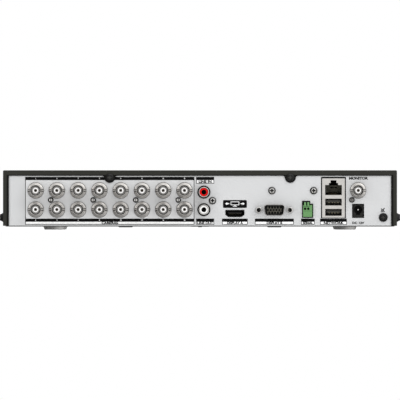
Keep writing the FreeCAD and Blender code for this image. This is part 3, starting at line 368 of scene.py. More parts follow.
def plated(name, colour, roughness, gap=0.7 * MM, dark=0.1):
    """Metal plating with fine turning marks, uneven polish and painted shade in crevices."""
    paint = Paint(name, colour, roughness, metallic=1.0)
    paint.soft_edges(0.12 * MM)
    paint.blotch(3 * MM, 0.04)
    paint.sheen_drift(2 * MM, 0.05)
    paint.grain(0.3 * MM, 0.01 * MM, 0.12, stretch=(1, 3, 1))
    # painted shade in crevices
    paint.crevice_shade(gap, dark)
    return paint.material


def moulded_paint(name, colour, roughness, grain=0.35 * MM, depth=0.03 * MM, edge=0.15 * MM, **sockets):
    """Injection-moulded plastic with spark-eroded texture."""
    sockets.setdefault("Specular_IOR_Level", 0.3)
    paint = Paint(name, colour, roughness, **sockets)
    paint.soft_edges(edge)
    paint.blotch(12 * MM, 0.03)
    paint.sheen_drift(20 * MM, 0.03)
    paint.grain(grain, depth, 0.3)
    return paint


def moulded(name, colour, roughness, *texture, **sockets):
    return moulded_paint(name, colour, roughness, *texture, **sockets).material


def plug_green(name):
    """Green terminal plug; its two wire openings are painted black as painted shade."""
    paint = moulded_paint(name, (0.12, 0.275, 0.10), 0.42)
    # painted shade in the wire openings
    for offset in WIRE_OPENINGS:
        paint.spot((TERMINAL_X + offset) * MM, TERMINAL_Z * MM, 0.95 * MM, (0.004, 0.004, 0.004))
    return paint.material


def insulator_white(name):
    """Socket insulator: white nub, with painted shade on the shoulder low in the barrel."""
    paint = Paint(name, (0.8, 0.79, 0.78), 0.4, Specular_IOR_Level=0.3)
    paint.soft_edges(0.1 * MM)
    paint.blotch(3 * MM, 0.03)
    paint.grain(0.3 * MM, 0.02 * MM, 0.2)
    # painted shade on the shoulder deep in the barrel
    paint.overlay(paint.span("Y", PANEL_Y - 9.4 * MM, FAR), (0.5, 0.49, 0.47))
    return paint.material


def pin_field(name):
    """Dark insert of the 15-way socket, with painted shade round each pin and along the edges, lighter
    between.
    """
    paint = Paint(name, (0.07, 0.066, 0.054), 0.5, Specular_IOR_Level=0.1)
    paint.blotch(2 * MM, 0.1)
    paint.grain(0.3 * MM, 0.02 * MM, 0.2)
    x, z = centre("vga_shell").x, centre("vga_jackscrews").z
    pin_pitch, row_pitch = 2.29 * MM, 1.98 * MM
    outer_x = x + 0.57 * MM
    # painted shade round each pin hole
    for first_x, first_z in ((outer_x, z + row_pitch), (outer_x - pin_pitch / 2, z)):
        across, up = paint.repeated("X", first_x, pin_pitch), paint.repeated("Z", first_z, 2 * row_pitch)
        paint.overlay(paint.within(paint.distance(across, up), -FAR, 0.86 * MM), HOLE_BLACK)
    # painted shade along the edges
    paint.overlay(paint.within(paint.repeated("Z", z), 2.7 * MM, 9.0 * MM, fold=True), HOLE_BLACK)
    paint.overlay(paint.within(paint.repeated("X", x), 5.9 * MM, 20.0 * MM, fold=True), HOLE_BLACK)
    return paint.material


def cross_head(name, colour, centres, rim, bright_radius, tip):
    """Screws with a bright face, painted shade on the sloping rim and in the recess."""
    paint = Paint(name, colour, 0.3, metallic=1.0)
    paint.soft_edges(0.15 * MM)
    paint.blotch(1.5 * MM, 0.1)
    paint.sheen_drift(2 * MM, 0.05)
    for x, z in centres:
        # painted shade on the sloping rim
        paint.overlay(paint.within(paint.around(x * MM, z * MM), bright_radius, 3.6 * MM), rim)
        # painted shade in the recess
        paint.recess(x * MM, z * MM, bright_radius, tip, (0.02, 0.02, 0.02))
    return paint.material


def dark_rimmed(name, colour, roughness, tip):
    """Dull plating with painted shade along the front rim."""
    paint = Paint(name, colour, roughness, metallic=1.0)
    paint.soft_edges(0.12 * MM)
    paint.blotch(3 * MM, 0.05)
    paint.sheen_drift(2 * MM, 0.05)
    # painted shade along the front rim
    paint.overlay(paint.span("Y", tip - 1.0 * MM, tip + 0.3 * MM), (0.012, 0.012, 0.011))
    return paint.material


def inlet_plastic(name):
    """Power inlet: painted shade makes its border and bore black, with a slightly lighter face between."""
    paint = Paint(name, (0.013, 0.013, 0.011), 0.45, Specular_IOR_Level=0.2)
    paint.soft_edges(0.15 * MM)
    paint.blotch(4 * MM, 0.06)
    paint.grain(0.35 * MM, 0.03 * MM, 0.3)
    x, top = centre("power_jack").x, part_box("power_jack")[1].z
    # painted shade along the sides and the top
    paint.overlay(paint.within(paint.repeated("X", x), 3.7 * MM, 9.0 * MM, fold=True), HOLE_BLACK)
    paint.overlay(paint.span("Z", top - 0.8 * MM, top + 1.0 * MM), HOLE_BLACK)
    # painted shade in the bore
    bore = paint.around(x, centre("power_jack_pin").z)
    paint.overlay(paint.within(bore, 2.75 * MM, 3.5 * MM), HOLE_BLACK)
    return paint.material


def cover_screw_black(name):
    """Black-plated case screws; the recess of the two rear ones is painted lighter as a painted highlight."""
    paint = Paint(name, (0.012, 0.012, 0.012), 0.4, metallic=0.3, Specular_IOR_Level=0.3)
    paint.soft_edges(0.12 * MM)
    paint.blotch(2 * MM, 0.1)
    paint.sheen_drift(2 * MM, 0.05)
    # painted highlight in the recesses
    for x in (-TAB_X, TAB_X):
        paint.recess(x * MM, TAB_Z * MM, 1.8 * MM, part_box("cover_screws")[0].y, (0.07, 0.07, 0.065))
    return paint.material


def sheet_steel(name, colour, roughness):
    """Bare plated sheet: long rolling marks along X, painted shade in crevices."""
    paint = Paint(name, colour, roughness, metallic=0.85)
    paint.soft_edges(0.15 * MM)
    paint.blotch(6 * MM, 0.05)
    paint.sheen_drift(3 * MM, 0.05, stretch=(1, 1, 8))
    paint.grain(0.6 * MM, 0.02 * MM, 0.3, stretch=(1, 1, 12))
    # painted shade in crevices
    paint.crevice_shade(0.8 * MM, 0.2)
    return paint.material


def cast_metal(name, colour, roughness, grain=0.9 * MM):
    """Die-cast or stamped metal with an uneven, grainy skin."""
    paint = Paint(name, colour, roughness, metallic=0.9)
    paint.soft_edges(0.3 * MM)
    paint.blotch(10 * MM, 0.06)
    paint.sheen_drift(4 * MM, 0.08)
    paint.grain(grain, 0.08 * MM, 0.4)
    return paint.material


def circuit_board(name):
    """Green solder mask with lighter copper runs and plated dots."""
    paint = Paint(name, (0.012, 0.11, 0.045), 0.35)
    runs = paint.node("ShaderNodeTexBrick")
    runs.inputs["Scale"].default_value = 220.0
    runs.inputs["Mortar Size"].default_value = 0.012
    runs.inputs["Color1"].default_value = (0, 0, 0, 1)
    runs.inputs["Color2"].default_value = (0, 0, 0, 1)
    runs.inputs["Mortar"].default_value = (1, 1, 1, 1)
    paint.join(paint.place, runs.inputs["Vector"])
    paint.overlay(runs.outputs["Color"], (0.03, 0.22, 0.09))
    dots = paint.node("ShaderNodeTexVoronoi")
    dots.inputs["Scale"].default_value = 260.0
    paint.join(paint.place, dots.inputs["Vector"])
    paint.overlay(paint.ramp(dots.outputs["Distance"], 1.0, 0.0, 0.10, 0.14), (0.5, 0.42, 0.2))
    paint.bump(runs.outputs["Color"], 0.03 * MM, 0.4)
    return paint.material


def threaded_steel(name, colour, roughness, pitch, head_y):
    """Black-plated screw whose shank shows thread rings below the head, with a painted highlight in its
    recess.
    """
    paint = Paint(name, colour, roughness, metallic=0.3, Specular_IOR_Level=0.2)
    paint.soft_edges(0.12 * MM)
    paint.blotch(2 * MM, 0.1)
    wave = paint.node("ShaderNodeTexWave", wave_type="BANDS", bands_direction="Y", wave_profile="SIN")
    waves_per_unit = 20.0 / (2 * math.pi)
    wave.inputs["Scale"].default_value = 1 / pitch / waves_per_unit
    paint.join(paint.place, wave.inputs["Vector"])
    shank = paint.node("ShaderNodeMath", operation="GREATER_THAN")
    paint.join(paint.coordinate("Y"), shank.inputs[0])
    shank.inputs[1].default_value = head_y
    # painted highlight: the head's recess is painted lighter
    middle = centre("ground_screw")
    paint.recess(middle.x, middle.z, 1.8 * MM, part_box("ground_screw")[0].y, (0.06, 0.06, 0.055))
    paint.bump(paint.both(wave.outputs["Fac"], shank.outputs["Value"]), 0.25 * MM)
    return paint.material


def disc_mirror(name):
    """Polished drive platter."""
    paint = Paint(name, (0.82, 0.83, 0.85), 0.06, metallic=1.0)
    paint.sheen_drift(20 * MM, 0.02)
    paint.blotch(25 * MM, 0.02)
    return paint.material


def jacket(name, colour):
    """Slightly uneven cable jacket."""
    paint = Paint(name, colour, 0.5)
    paint.blotch(6 * MM, 0.08)
    paint.grain(0.8 * MM, 0.1 * MM, 0.5)
    return paint.material


def smoked(name):
    """Glossy, nearly black infrared window."""
    paint = Paint(name, (0.012, 0.006, 0.010), 0.08, Coat_Weight=0.6)
    paint.blotch(20 * MM, 0.1)
    paint.sheen_drift(15 * MM, 0.02)
    return paint.material


def ink(name, colour, roughness=0.45):
    """Screen-printed ink, slightly uneven."""
    paint = Paint(name, colour, roughness, Specular_IOR_Level=0.1)
    paint.blotch(1.5 * MM, 0.06)
    paint.grain(0.3 * MM, 0.01 * MM, 0.2)
    return paint.material


def make_materials():
    """One material on every CAD node; nodes of the same stuff share one."""
    cage_steel = sheet_steel("plated_sheet", (0.74, 0.72, 0.69), 0.36)
    zinc = plated("zinc", (0.66, 0.65, 0.63), 0.3, gap=1.2 * MM, dark=0.02)
    nickel = plated("nickel_plate", (0.72, 0.705, 0.68), 0.26, gap=3.0 * MM, dark=0.02)
    black_moulded = moulded("black_moulded", (0.005, 0.005, 0.005), 0.45, Specular_IOR_Level=0.18)
    sockets = socket_nickel("socket_nickel", BNC_FIRST_X * MM)
    board = circuit_board("circuit_board_green")
    lead_black = jacket("lead_black", (0.02, 0.02, 0.02))
    table = {
        "chassis_base": panel_coat(),
        "top_cover": cover_coat(),
        "front_bezel": moulded("bezel_black", (0.012, 0.012, 0.013), 0.36, 0.5 * MM, 0.04 * MM, 0.6 * MM),
        "infrared_window": smoked("smoked_window"),
        "light_pipes": moulded("clear_pipe", (0.75, 0.8, 0.85), 0.12, Transmission_Weight=0.5),
        "indicator_board": board,
        "indicator_lamps": moulded("lamp_white", (0.85, 0.85, 0.75), 0.3),
        "feet": cast_metal("foot_silver", (0.60, 0.59, 0.575), 0.26, 0.4 * MM),
        "bnc_blocks": black_moulded,
        "video_out_block": black_moulded,
        "bnc_jacks_lower_row": sockets,
        "bnc_jacks_upper_row": sockets,
        "video_out_jack": socket_nickel("output_nickel", centre("video_out_jack").x),
        "bnc_insulators": insulator_white("insulator_white"),
        "bnc_contacts": plated("contact_plate", (0.22, 0.2, 0.17), 0.3),
        "bnc_block_screws": plated("dark_zinc", (0.06, 0.06, 0.058), 0.35),
        "audio_block": black_moulded,
        "audio_jacks": nickel,
        "audio_in_insert": bored_plastic("red_moulded", (0.60, 0.0, 0.0), "audio_in_insert"),
        "audio_out_insert": bored_plastic("white_moulded", (0.8, 0.8, 0.79), "audio_out_insert"),
        "digital_video_shell": plated("dark_plate", (0.012, 0.012, 0.011), 0.4),
        "digital_video_tongue": black_moulded,
        "vga_shell": dark_rimmed("dull_nickel", (0.6, 0.58, 0.56), 0.34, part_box("vga_shell")[0].y),
        "vga_insert": pin_field("black_insert"),
        "vga_jackscrews": nickel,
        "terminal_header": black_moulded,
        "terminal_plug": plug_green("green_moulded"),
        "release_lever_left": moulded("lever_green", (0.13, 0.29, 0.11), 0.4),
        "release_lever_right": moulded("lever_green_right", (0.13, 0.29, 0.11), 0.4),
        NETWORK_CAGE: cage_steel,
        "lan_insert": deep_plastic("insert_black", HOLE_BLACK, (0.15, 0.145, 0.12), 4.0 * MM,
                                   29.5 * MM, 35.6 * MM),
        "lan_contacts": plated("gold", (0.3, 0.21, 0.09), 0.22),
        "usb_tongues": moulded("tongue_black", (0.035, 0.034, 0.029), 0.45),
        "power_jack": inlet_plastic("jack_black"),
        "power_jack_pin": plated("pin_bright", (0.85, 0.84, 0.82), 0.15, gap=0.2 * MM),
        "ground_screw": threaded_steel("ground_screw_black", (0.012, 0.012, 0.012), 0.4, 0.7 * MM, PANEL_Y),
        "ground_washer": plated("black_steel", (0.03, 0.03, 0.03), 0.38),
        # the panel screws' second colour is painted shade on their sloping rims
        "panel_screws": cross_head("panel_screw_zinc", (0.78, 0.77, 0.75), PANEL_SCREWS, (0.10, 0.098, 0.095),
                                   2.0 * MM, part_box("panel_screws")[0].y),
        "cover_screws": cover_screw_black("cover_screw_black"),
        "main_board": board,
        "board_standoffs": plated("brass", (0.7, 0.5, 0.2), 0.3),
        "board_screws": zinc,
        "heat_sink": cast_metal("anodised_black", (0.035, 0.035, 0.04), 0.35),
        "board_chips": moulded("chip_black", (0.02, 0.02, 0.022), 0.5),
        "capacitors": plated("can_sleeve", (0.55, 0.56, 0.6), 0.3),
        "coin_cell": plated("cell_steel", (0.7, 0.69, 0.66), 0.25),
        "drive_case": cast_metal("cast_aluminium", (0.55, 0.56, 0.57), 0.4),
        "drive_lid": plated("lid_steel", (0.6, 0.6, 0.61), 0.3),
        "drive_board": board,
        "drive_platters": disc_mirror("platter_mirror"),
        "drive_arm": cast_metal("arm_metal", (0.6, 0.58, 0.52), 0.3),
        "drive_rails": cage_steel,
        "drive_screws": zinc,
        "fan_frame": black_moulded,
        "fan_rotor": moulded("rotor_black", (0.015, 0.015, 0.015), 0.33),
        "fan_screws": zinc,
        "drive_data_cable": jacket("lead_red", (0.42, 0.02, 0.015)),
        "drive_power_cable": lead_black,
        "indicator_cable": lead_black,
        "fan_lead": lead_black,
    }
    for node, material in table.items():
        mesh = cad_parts[node].data
        mesh.materials.clear()
        mesh.materials.append(material)


# ---------------------------------------------------------------- outlines, in millimetres
def rectangle(x0, x1, z0, z1):
    return [(x0, z0), (x1, z0), (x1, z1), (x0, z1)]


def rectangles_round(x, z, offsets):
    """Rectangles from their left, right, bottom and top offsets from one point."""
    return [rectangle(x + left, x + right, z + bottom, z + top) for left, right, bottom, top in offsets]


def rounded_rectangle(x0, x1, z0, z1, radius):
    """Rectangle with a quarter circle at each corner."""
    steps = 6
    points = []
    corners = ((x1, z0, -90), (x1, z1, 0), (x0, z1, 90), (x0, z0, 180))
    for x, z, start in corners:
        cx = x - radius if x == x1 else x + radius
        cz = z - radius if z == z1 else z + radius
        for k in range(steps + 1):
            angle = math.radians(start + 90 * k / steps)
            points.append((cx + radius * math.cos(angle), cz + radius * math.sin(angle)))
    return points


def open_box(x0, x1, z0, z1):
    """Left, right and bottom line of a box whose top is a bar."""
    return [rectangle(x0, x0 + LINE, z0, z1), rectangle(x1 - LINE, x1, z0, z1),
            rectangle(x0, x1, z0, z0 + LINE)]


def ring(x, z, inner, outer, steps=28):
    """Flat ring as quads."""
    angles = [2 * math.pi * k / steps for k in range(steps + 1)]
    points = [(math.cos(angle), math.sin(angle)) for angle in angles]
    return [[(x + inner * a[0], z + inner * a[1]), (x + outer * a[0], z + outer * a[1]),
             (x + outer * b[0], z + outer * b[1]), (x + inner * b[0], z + inner * b[1])]
            for a, b in zip(points, points[1:])]


def half_disc(x, z, radius, gap, side):
    """Half of a round face, left or right of a middle slot."""
    steps = 10
    start = math.acos(gap / 2 / radius)
    angles = [start - 2 * start * k / steps for k in range(steps + 1)]
    points = [(x + side * radius * math.cos(angle), z + radius * math.sin(angle)) for angle in angles]
    return points if side < 0 else points[::-1]


def slotted_face(x, z, radius, gap):
    """Both halves of a slotted screw's face."""
    return [half_disc(x, z, radius, gap, side) for side in (-1, 1)]


# ---------------------------------------------------------------- pieces made here, all riding on the chassis
def piece_from(build, name, material):
    """The finished piece of a bmesh."""
    mesh = bpy.data.meshes.new(name)
    build.to_mesh(mesh)
    build.free()
    mesh.materials.clear()
    mesh.materials.append(material)
    piece = bpy.data.objects.new(name, mesh)
    bpy.context.scene.collection.objects.link(piece)
    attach(piece, ROOT)


def printed(name, outlines, material, proud=1.0, face_y=PANEL_Y):
    """One thin piece from closed (x, z) outlines, standing proud of a face by this many print heights."""
    build = bmesh.new()
    front, back = face_y - PRINT_HEIGHT * MM * proud, face_y + 0.01 * MM
    for outline in outlines:
        near = [build.verts.new((x * MM, front, z * MM)) for x, z in outline]
        far = [build.verts.new((x * MM, back, z * MM)) for x, z in outline]
        build.faces.new(near)
        build.faces.new(far[::-1])
        for k in range(len(near)):
            after = (k + 1) % len(near)
            build.faces.new((near[k], far[k], far[after], near[after]))
    bmesh.ops.recalc_face_normals(build, faces=build.faces)
    piece_from(build, name, material)


def blocks(name, corners, material):
    """One piece made of plain blocks, each from its low and high corner in millimetres."""
    build = bmesh.new()
    for low, high in corners:
        low, high = Vector(low) * MM, Vector(high) * MM
        place = Matrix.Translation((low + high) / 2) @ Matrix.Diagonal((*(high - low), 1.0))
        bmesh.ops.create_cube(build, size=1.0, matrix=place)
    piece_from(build, name, material)


def lettering(name, entries, material, proud, boldness):
    """One piece from (text, x, z, letter height, letter width share) in millimetres, centred on x, z."""
    thickness = PRINT_HEIGHT * MM * proud
    capital_share = 0.7
    build = bmesh.new()
    for text, x, z, height, stretch in entries:
        curve = bpy.data.curves.new(name + "_curve", "FONT")
        curve.body = text
        curve.size = height * MM / capital_share
        curve.align_x, curve.align_y = "CENTER", "CENTER"
        curve.offset = 0.05 * height * MM * boldness
        curve.extrude = thickness / 2
        curve.resolution_u = 3
        letters = bpy.data.objects.new(name + "_letters", curve)
        bpy.context.scene.collection.objects.link(letters)
        bpy.context.view_layer.update()
        mesh = bpy.data.meshes.new_from_object(letters)
        turn = Matrix.Rotation(math.pi / 2, 4, "X") @ Matrix.Diagonal((stretch, 1, 1, 1))
        mesh.transform(Matrix.Translation((x * MM, PANEL_Y - thickness / 2, z * MM)) @ turn)
        bpy.data.objects.remove(letters)
        build.from_mesh(mesh)
        bpy.data.meshes.remove(mesh)
    bmesh.ops.remove_doubles(build, verts=build.verts, dist=1e-7)
    piece_from(build, name, material)


def label_boxes(black, white, grey):
    """Printed bars, and the white boxes with a grey line that hold the words."""
    bars = [rectangle(*span, *BAR_LOW) for span in GROUPS.values()]
    bars += [rectangle(*GROUPS[name], *BAR_HIGH) for name in ("inputs", "line")]
    printed("print_bars", bars, black, proud=2.0)

    fills = [rectangle(*span, LABEL_FLOOR, BAR_LOW[0]) for span in GROUPS.values()]
    fills.append(rectangle(*GROUPS["line"], UPPER_LABEL_FLOOR, BAR_HIGH[0]))
    printed("print_label_fields", fills, white)

    lines = []
    for name, (x0, x1) in GROUPS.items():
        top = BAR_HIGH[0] if name == "inputs" else BAR_LOW[0]
        lines += open_box(x0, x1, LABEL_FLOOR, top)
    lines += open_box(*GROUPS["line"], UPPER_LABEL_FLOOR, BAR_HIGH[0])
    printed("print_lines", lines, grey, proud=1.6)


def panel_words(material):
    """A word in each group's box, one in the upper audio box, one over video out, one below the inlet."""
    label_z = (LABEL_FLOOR + BAR_LOW[0]) / 2 + 0.1
    labels = (("CAMERAS", "inputs", 1.1), ("LINE OUT", "line", 1.05), ("DISPLAY A", "display_a", 1.0),
              ("DISPLAY B", "display_b", 1.0), ("SERIAL", "serial", 1.0), ("NETWORK", "network", 1.15))
    words = [(text, sum(GROUPS[group]) / 2, label_z, WORD_HEIGHT, stretch) for text, group, stretch in labels]
    words.append(("LINE IN", sum(GROUPS["line"]) / 2, 38.35, WORD_HEIGHT, 1.15))
    words.append(("MONITOR", 126.6, 41.0, 2.0, 1.12))
    words.append(("DC 12V", 126.4, 5.3, 1.7, 1.15))
    lettering("print_words", words, material, proud=2.4, boldness=1.4)


def channel_numbers(material):
    """Odd numbers on the upper bar, even numbers on the lower one, each over or under its coaxial socket."""
    numbers = []
    for first, bar in ((2, BAR_LOW), (1, BAR_HIGH)):
        for k in range(BNC_COLUMNS):
            x, z = BNC_FIRST_X + BNC_PITCH * k, sum(bar) / 2
            numbers.append((str(first + 2 * k), x, z, NUMBER_HEIGHT, NUMBER_STRETCH))
    lettering("print_channel_numbers", numbers, material, proud=3.0, boldness=1.2)


def screw_details(black):
    """Black rings of painted shadow round the panel screws, slotted faces of the block screws, black rings of
    painted shade in the mouths of the jackscrews.
    """
    # painted shadow round each panel screw's head
    rings = []
    for x, z in PANEL_SCREWS:
        rings += ring(x, z, 2.2, 3.0)
    printed("screw_shadow_rings", rings, black, proud=4.0)
    bright = plated("slot_face_bright", (0.8, 0.79, 0.77), 0.3, gap=0.2 * MM)
    face_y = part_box("bnc_block_screws")[0].y
    faces = []
    for k in range(BLOCK_SCREW_COUNT):
        faces += slotted_face(BLOCK_SCREW_FIRST_X + BLOCK_SCREW_PITCH * k, BLOCK_SCREW_Z, 1.25, 0.55)
    printed("block_screw_faces", faces, bright, face_y=face_y)
    dull = plated("slot_face_dull", (0.3, 0.29, 0.28), 0.4, gap=0.2 * MM)
    printed("output_screw_face", slotted_face(OUTPUT_SCREW_X, BLOCK_SCREW_Z, 1.4, 0.4), dull, face_y=face_y)
    low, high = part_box("vga_jackscrews")
    half_nut = 2.9
    # painted shade in the jackscrews' mouths
    mouths = []
    for x in (low.x / MM + half_nut, high.x / MM - half_nut):
        mouths += ring(x, (low.z + high.z) / 2 / MM, 1.2, 1.75)
    printed("jackscrew_mouth_shade", mouths, black, face_y=low.y)


def socket_contacts():
    """Spring contacts under the two USB tongues and under the digital video tongue."""
    gold = plated("contact_gold", (0.5, 0.44, 0.3), 0.3, gap=0.2 * MM)
    middle, y = centre("usb_tongues").x / MM, PANEL_Y / MM
    strips = []
    for z in USB_OPENINGS_Z:
        strips += [((middle + x - 0.5, y + 0.8, z + 2.15), (middle + x + 0.5, y + 9.0, z + 2.5))
                   for x in (-3.5, -1.0, 1.0, 3.5)]
    blocks("usb_contact_strips", strips, gold)
    tongue, tip = centre("digital_video_tongue") / MM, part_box("digital_video_tongue")[0].y / MM
    pitch, half, under = 0.9, 0.15, tongue.z - 0.7
    springs = [((tongue.x + pitch * k - half, tip + 0.2, under - 0.25),
                (tongue.x + pitch * k + half, tip + 6.0, under)) for k in range(-5, 6)]
    blocks("digital_video_contacts", springs, gold)


def network_dark_border(material):
    """Thin black strips on the panel round the network cage, wider along the top."""
    low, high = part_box(NETWORK_CAGE)
    gap, side, below, above = 0.02, 0.85, 0.4, 1.2
    x0, x1, z0, z1 = low.x / MM - gap, high.x / MM + gap, low.z / MM - gap, high.z / MM + gap
    strips = [rectangle(x0 - side, x0, z0 - below, z1 + above),
              rectangle(x1, x1 + side, z0 - below, z1 + above),
              rectangle(x0, x1, z0 - below, z0),
              rectangle(x0, x1, z1, z1 + above)]
    printed("network_dark_border", strips, material, proud=4.0)


def display_symbol(material):
    """Plain screen on a stand with an arrow on each side, in white on the black plate."""
    x, z = DISPLAY_SIGN
    screen = rectangles_round(x, z, ((-3.4, 3.4, 1.5, 1.9), (-3.4, 3.4, -0.9, -0.5), (-3.4, -3.0, -0.5, 1.5),
                                     (3.0, 3.4, -0.5, 1.5), (-0.3, 0.3, -1.6, -0.9), (-1.6, 1.6, -2.0, -1.6)))
    arrows = []
    for side in (-1, 1):
        tail, neck, tip = (x + side * d for d in (4.6, 6.2, 7.8))
        shaft = rectangle(min(tail, neck), max(tail, neck), z - 0.15, z + 0.55)
        head = [(neck, z - 0.9), (tip, z + 0.2), (neck, z + 1.3)]
        arrows += [shaft, head if side > 0 else head[::-1]]
    printed("print_display_symbol", screen + arrows, material, proud=3.0)


def earth_symbol(material):
    """The usual earth sign, three shortening strokes below a stem, tilted as it is on the panel."""
    x, z = EARTH_SIGN
    cos, sin = math.cos(EARTH_TILT), math.sin(EARTH_TILT)
    strokes = rectangles_round(0, 0, ((-0.4, 0.4, 0.0, 1.8), (-1.9, 1.9, -0.7, 0.0),
                                      (-1.2, 1.2, -1.55, -0.95), (-0.6, 0.6, -2.35, -1.8)))
    turned = [[(x + px * cos - pz * sin, z + px * sin + pz * cos) for px, pz in stroke] for stroke in strokes]
    printed("print_earth_sign", turned, material, proud=2.0)


def bezel_icons(material):
    """Small signs under the three front lamps: power, network and disk."""
    power_x, network_x, disk_x = LAMPS_X
    z, front = 13.2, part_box("front_bezel")[1].y + 0.03 * MM
    shapes = [quad for quad in ring(power_x, z, 1.0, 1.35) if quad[0][1] <= z + 0.75]
    shapes += rectangles_round(power_x, z, ((-0.17, 0.17, 0.3, 1.6),))
    shapes += rectangles_round(network_x, z, ((-0.55, 0.55, 0.5, 1.4), (-0.12, 0.12, -0.3, 0.5),
                                              (-1.6, 1.6, -0.45, -0.25), (-1.8, -0.8, -1.5, -0.7),
                                              (0.8, 1.8, -1.5, -0.7)))
    shapes += rectangles_round(disk_x, z, ((-1.6, 1.6, 0.9, 1.2), (-1.6, 1.6, -1.2, -0.9),
                                           (-1.6, -1.3, -0.9, 0.9), (1.3, 1.6, -0.9, 0.9)))
    shapes += ring(disk_x, z, 0.25, 0.6, steps=16)
    printed("bezel_icons", shapes, material, face_y=front)


def drive_label():
    """Paper label on the drive's lid: a white sheet with a few plain grey lines and a block of bars."""
    low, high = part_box("drive_lid")
    x, top = (low.x + high.x) / 2 / MM, high.z / MM
    y0, y1 = low.y / MM + 6.0, low.y / MM + 42.0
    half_width, line_pitch, bar_pitch, ink_top = 38, 4, 2, top + 0.08
    paper = ink("label_paper", (0.8, 0.8, 0.78), 0.6)
    blocks("drive_label_sheet", [((x - half_width, y0, top - 0.02), (x + half_width, y1, top + 0.05))], paper)
    marks = []
    for k, width in enumerate((40, 30, 36, 22, 32)):
        left, y = x - 34, y1 - line_pitch * k
        marks.append(((left, y - 5, top), (left + width, y - 3.6, ink_top)))
    for k in range(11):
        left, width = x + 12 + bar_pitch * k, (0.6, 1.2, 0.9)[k % 3]
        marks.append(((left, y0 + 4, top), (left + width, y0 + 14, ink_top)))
    blocks("drive_label_marks", marks, ink("label_grey", (0.08, 0.08, 0.085), 0.6))


def make_pieces():
    """Everything that the CAD model leaves to the looks."""
    # this black serves the print and also the painted shade pieces: the rings round the panel screws and in
    # the jackscrew mouths
    black = ink("black_ink_and_shade", HOLE_BLACK, 0.7)
    white = ink("ink_white", (0.95, 0.95, 0.95))
    label_boxes(black, white, ink("ink_grey", (0.02, 0.019, 0.018)))
    printed("print_display_plate", [rounded_rectangle(*DISPLAY_PLATE, PLATE_CORNER)], black, proud=1.5)
    panel_words(black)
    channel_numbers(white)
    display_symbol(white)
    earth_symbol(black)
    network_dark_border(black)
    screw_details(black)
    socket_contacts()
    bezel_icons(ink("ink_pale", (0.35, 0.35, 0.36)))
    drive_label()


# ---------------------------------------------------------------- light, floor and camera
SKY_LEAN = (0.66, -0.38, 0.65)
SKY = ((0.0, 0.10), (0.40, 0.22), (0.60, 0.55), (0.75, 0.90), (1.0, 1.3))
FLOOR_GLOW = 0.65
KEY_POWER, FILL_POWER, TOP_POWER = 2.6, 3.2, 3.0
SIDE_AIM = (0, -0.1, 0.02)
LENS, SENSOR_WIDTH = 1500.0, 36.0
VIEW_WIDTH, VIEW_MIDDLE_Z = 319.8, 23.75


def soft_light(name, place, aim, size, power):
    """Rectangular area light that the camera doesn't see; places and size in metres."""
    data = bpy.data.lights.new(name, "AREA")
    data.shape = "RECTANGLE"
    data.size, data.size_y = size
    data.energy = power
    lamp = bpy.data.objects.new(name, data)
    lamp.location = place
    lamp.rotation_euler = (Vector(aim) - Vector(place)).to_track_quat("-Z", "Y").to_euler()
    lamp.visible_camera = False
    bpy.context.scene.collection.objects.link(lamp)


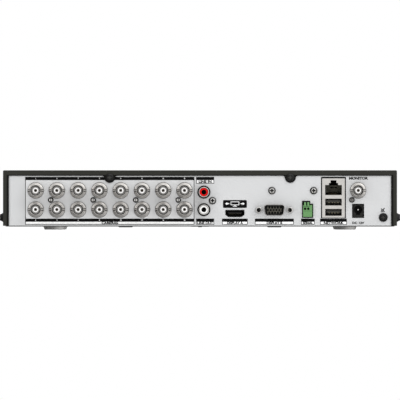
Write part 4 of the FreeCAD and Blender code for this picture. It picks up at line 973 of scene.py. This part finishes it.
def surround():
    """White backdrop for the eye; for the light, a sky brightest up, to the right and in front, dim below."""
    world = bpy.data.worlds.new("studio")
    world.use_nodes = True
    tree = world.node_tree
    background = tree.nodes["Background"]
    direction = tree.nodes.new("ShaderNodeTexCoord").outputs["Generated"]
    lean = tree.nodes.new("ShaderNodeVectorMath")
    lean.operation = "DOT_PRODUCT"
    lean.inputs[1].default_value = SKY_LEAN
    tree.links.new(direction, lean.inputs[0])
    spread = tree.nodes.new("ShaderNodeMapRange")
    spread.inputs["From Min"].default_value = -1.0
    tree.links.new(lean.outputs["Value"], spread.inputs["Value"])
    sky = tree.nodes.new("ShaderNodeValToRGB")
    stops = sky.color_ramp.elements
    stops[0].position, stops[1].position = SKY[0][0], SKY[-1][0]
    for position, _ in SKY[1:-1]:
        stops.new(position)
    for stop, (_, value) in zip(stops, SKY):
        stop.color = (value, value, value, 1.0)
    tree.links.new(spread.outputs["Result"], sky.inputs["Fac"])
    path = tree.nodes.new("ShaderNodeLightPath")
    seen = tree.nodes.new("ShaderNodeMix")
    seen.data_type = "RGBA"
    tree.links.new(path.outputs["Is Camera Ray"], seen.inputs["Factor"])
    tree.links.new(sky.outputs["Color"], seen.inputs["A"])
    seen.inputs["B"].default_value = (1, 1, 1, 1)
    tree.links.new(seen.outputs["Result"], background.inputs["Color"])
    bpy.context.scene.world = world


def studio():
    """Pale floor, white surround, and soft lights from above, from the right and from the left."""
    mesh = bpy.data.meshes.new("floor")
    build = bmesh.new()
    bmesh.ops.create_grid(build, x_segments=8, y_segments=8, size=0.75)
    build.to_mesh(mesh)
    build.free()
    floor = bpy.data.objects.new("floor", mesh)
    floor.location.z = -0.02 * MM
    bpy.context.scene.collection.objects.link(floor)
    pale = Paint("floor_pale", (0.75, 0.75, 0.75), 0.7)
    pale.shader.inputs["Emission Color"].default_value = (1, 1, 1, 1)
    pale.shader.inputs["Emission Strength"].default_value = FLOOR_GLOW
    mesh.materials.append(pale.material)
    floor.visible_glossy = False
    surround()
    soft_light("key_right", (0.9, -1.3, 1.0), SIDE_AIM, (0.5, 0.5), KEY_POWER)
    soft_light("fill_left", (-1.2, -1.2, 0.5), SIDE_AIM, (0.4, 0.7), FILL_POWER)
    soft_light("top", (0, 0.1, 1.4), (0, 0, 0), (1.0, 0.6), TOP_POWER)


def camera():
    """Straight-on long lens, level with the middle of the view, whose width is measured at the rear panel."""
    data = bpy.data.cameras.new("camera")
    data.sensor_width = SENSOR_WIDTH
    data.lens = LENS
    distance = VIEW_WIDTH * MM * LENS / SENSOR_WIDTH
    eye = bpy.data.objects.new("camera", data)
    eye.location = (0.0, PANEL_Y - distance, VIEW_MIDDLE_Z * MM)
    eye.rotation_euler = Euler((math.pi / 2, 0, 0))
    data.clip_end = 30.0
    bpy.context.scene.collection.objects.link(eye)
    bpy.context.scene.camera = eye
    bpy.context.scene.view_settings.view_transform = "Standard"


camera()
studio()
make_materials()
make_pieces()
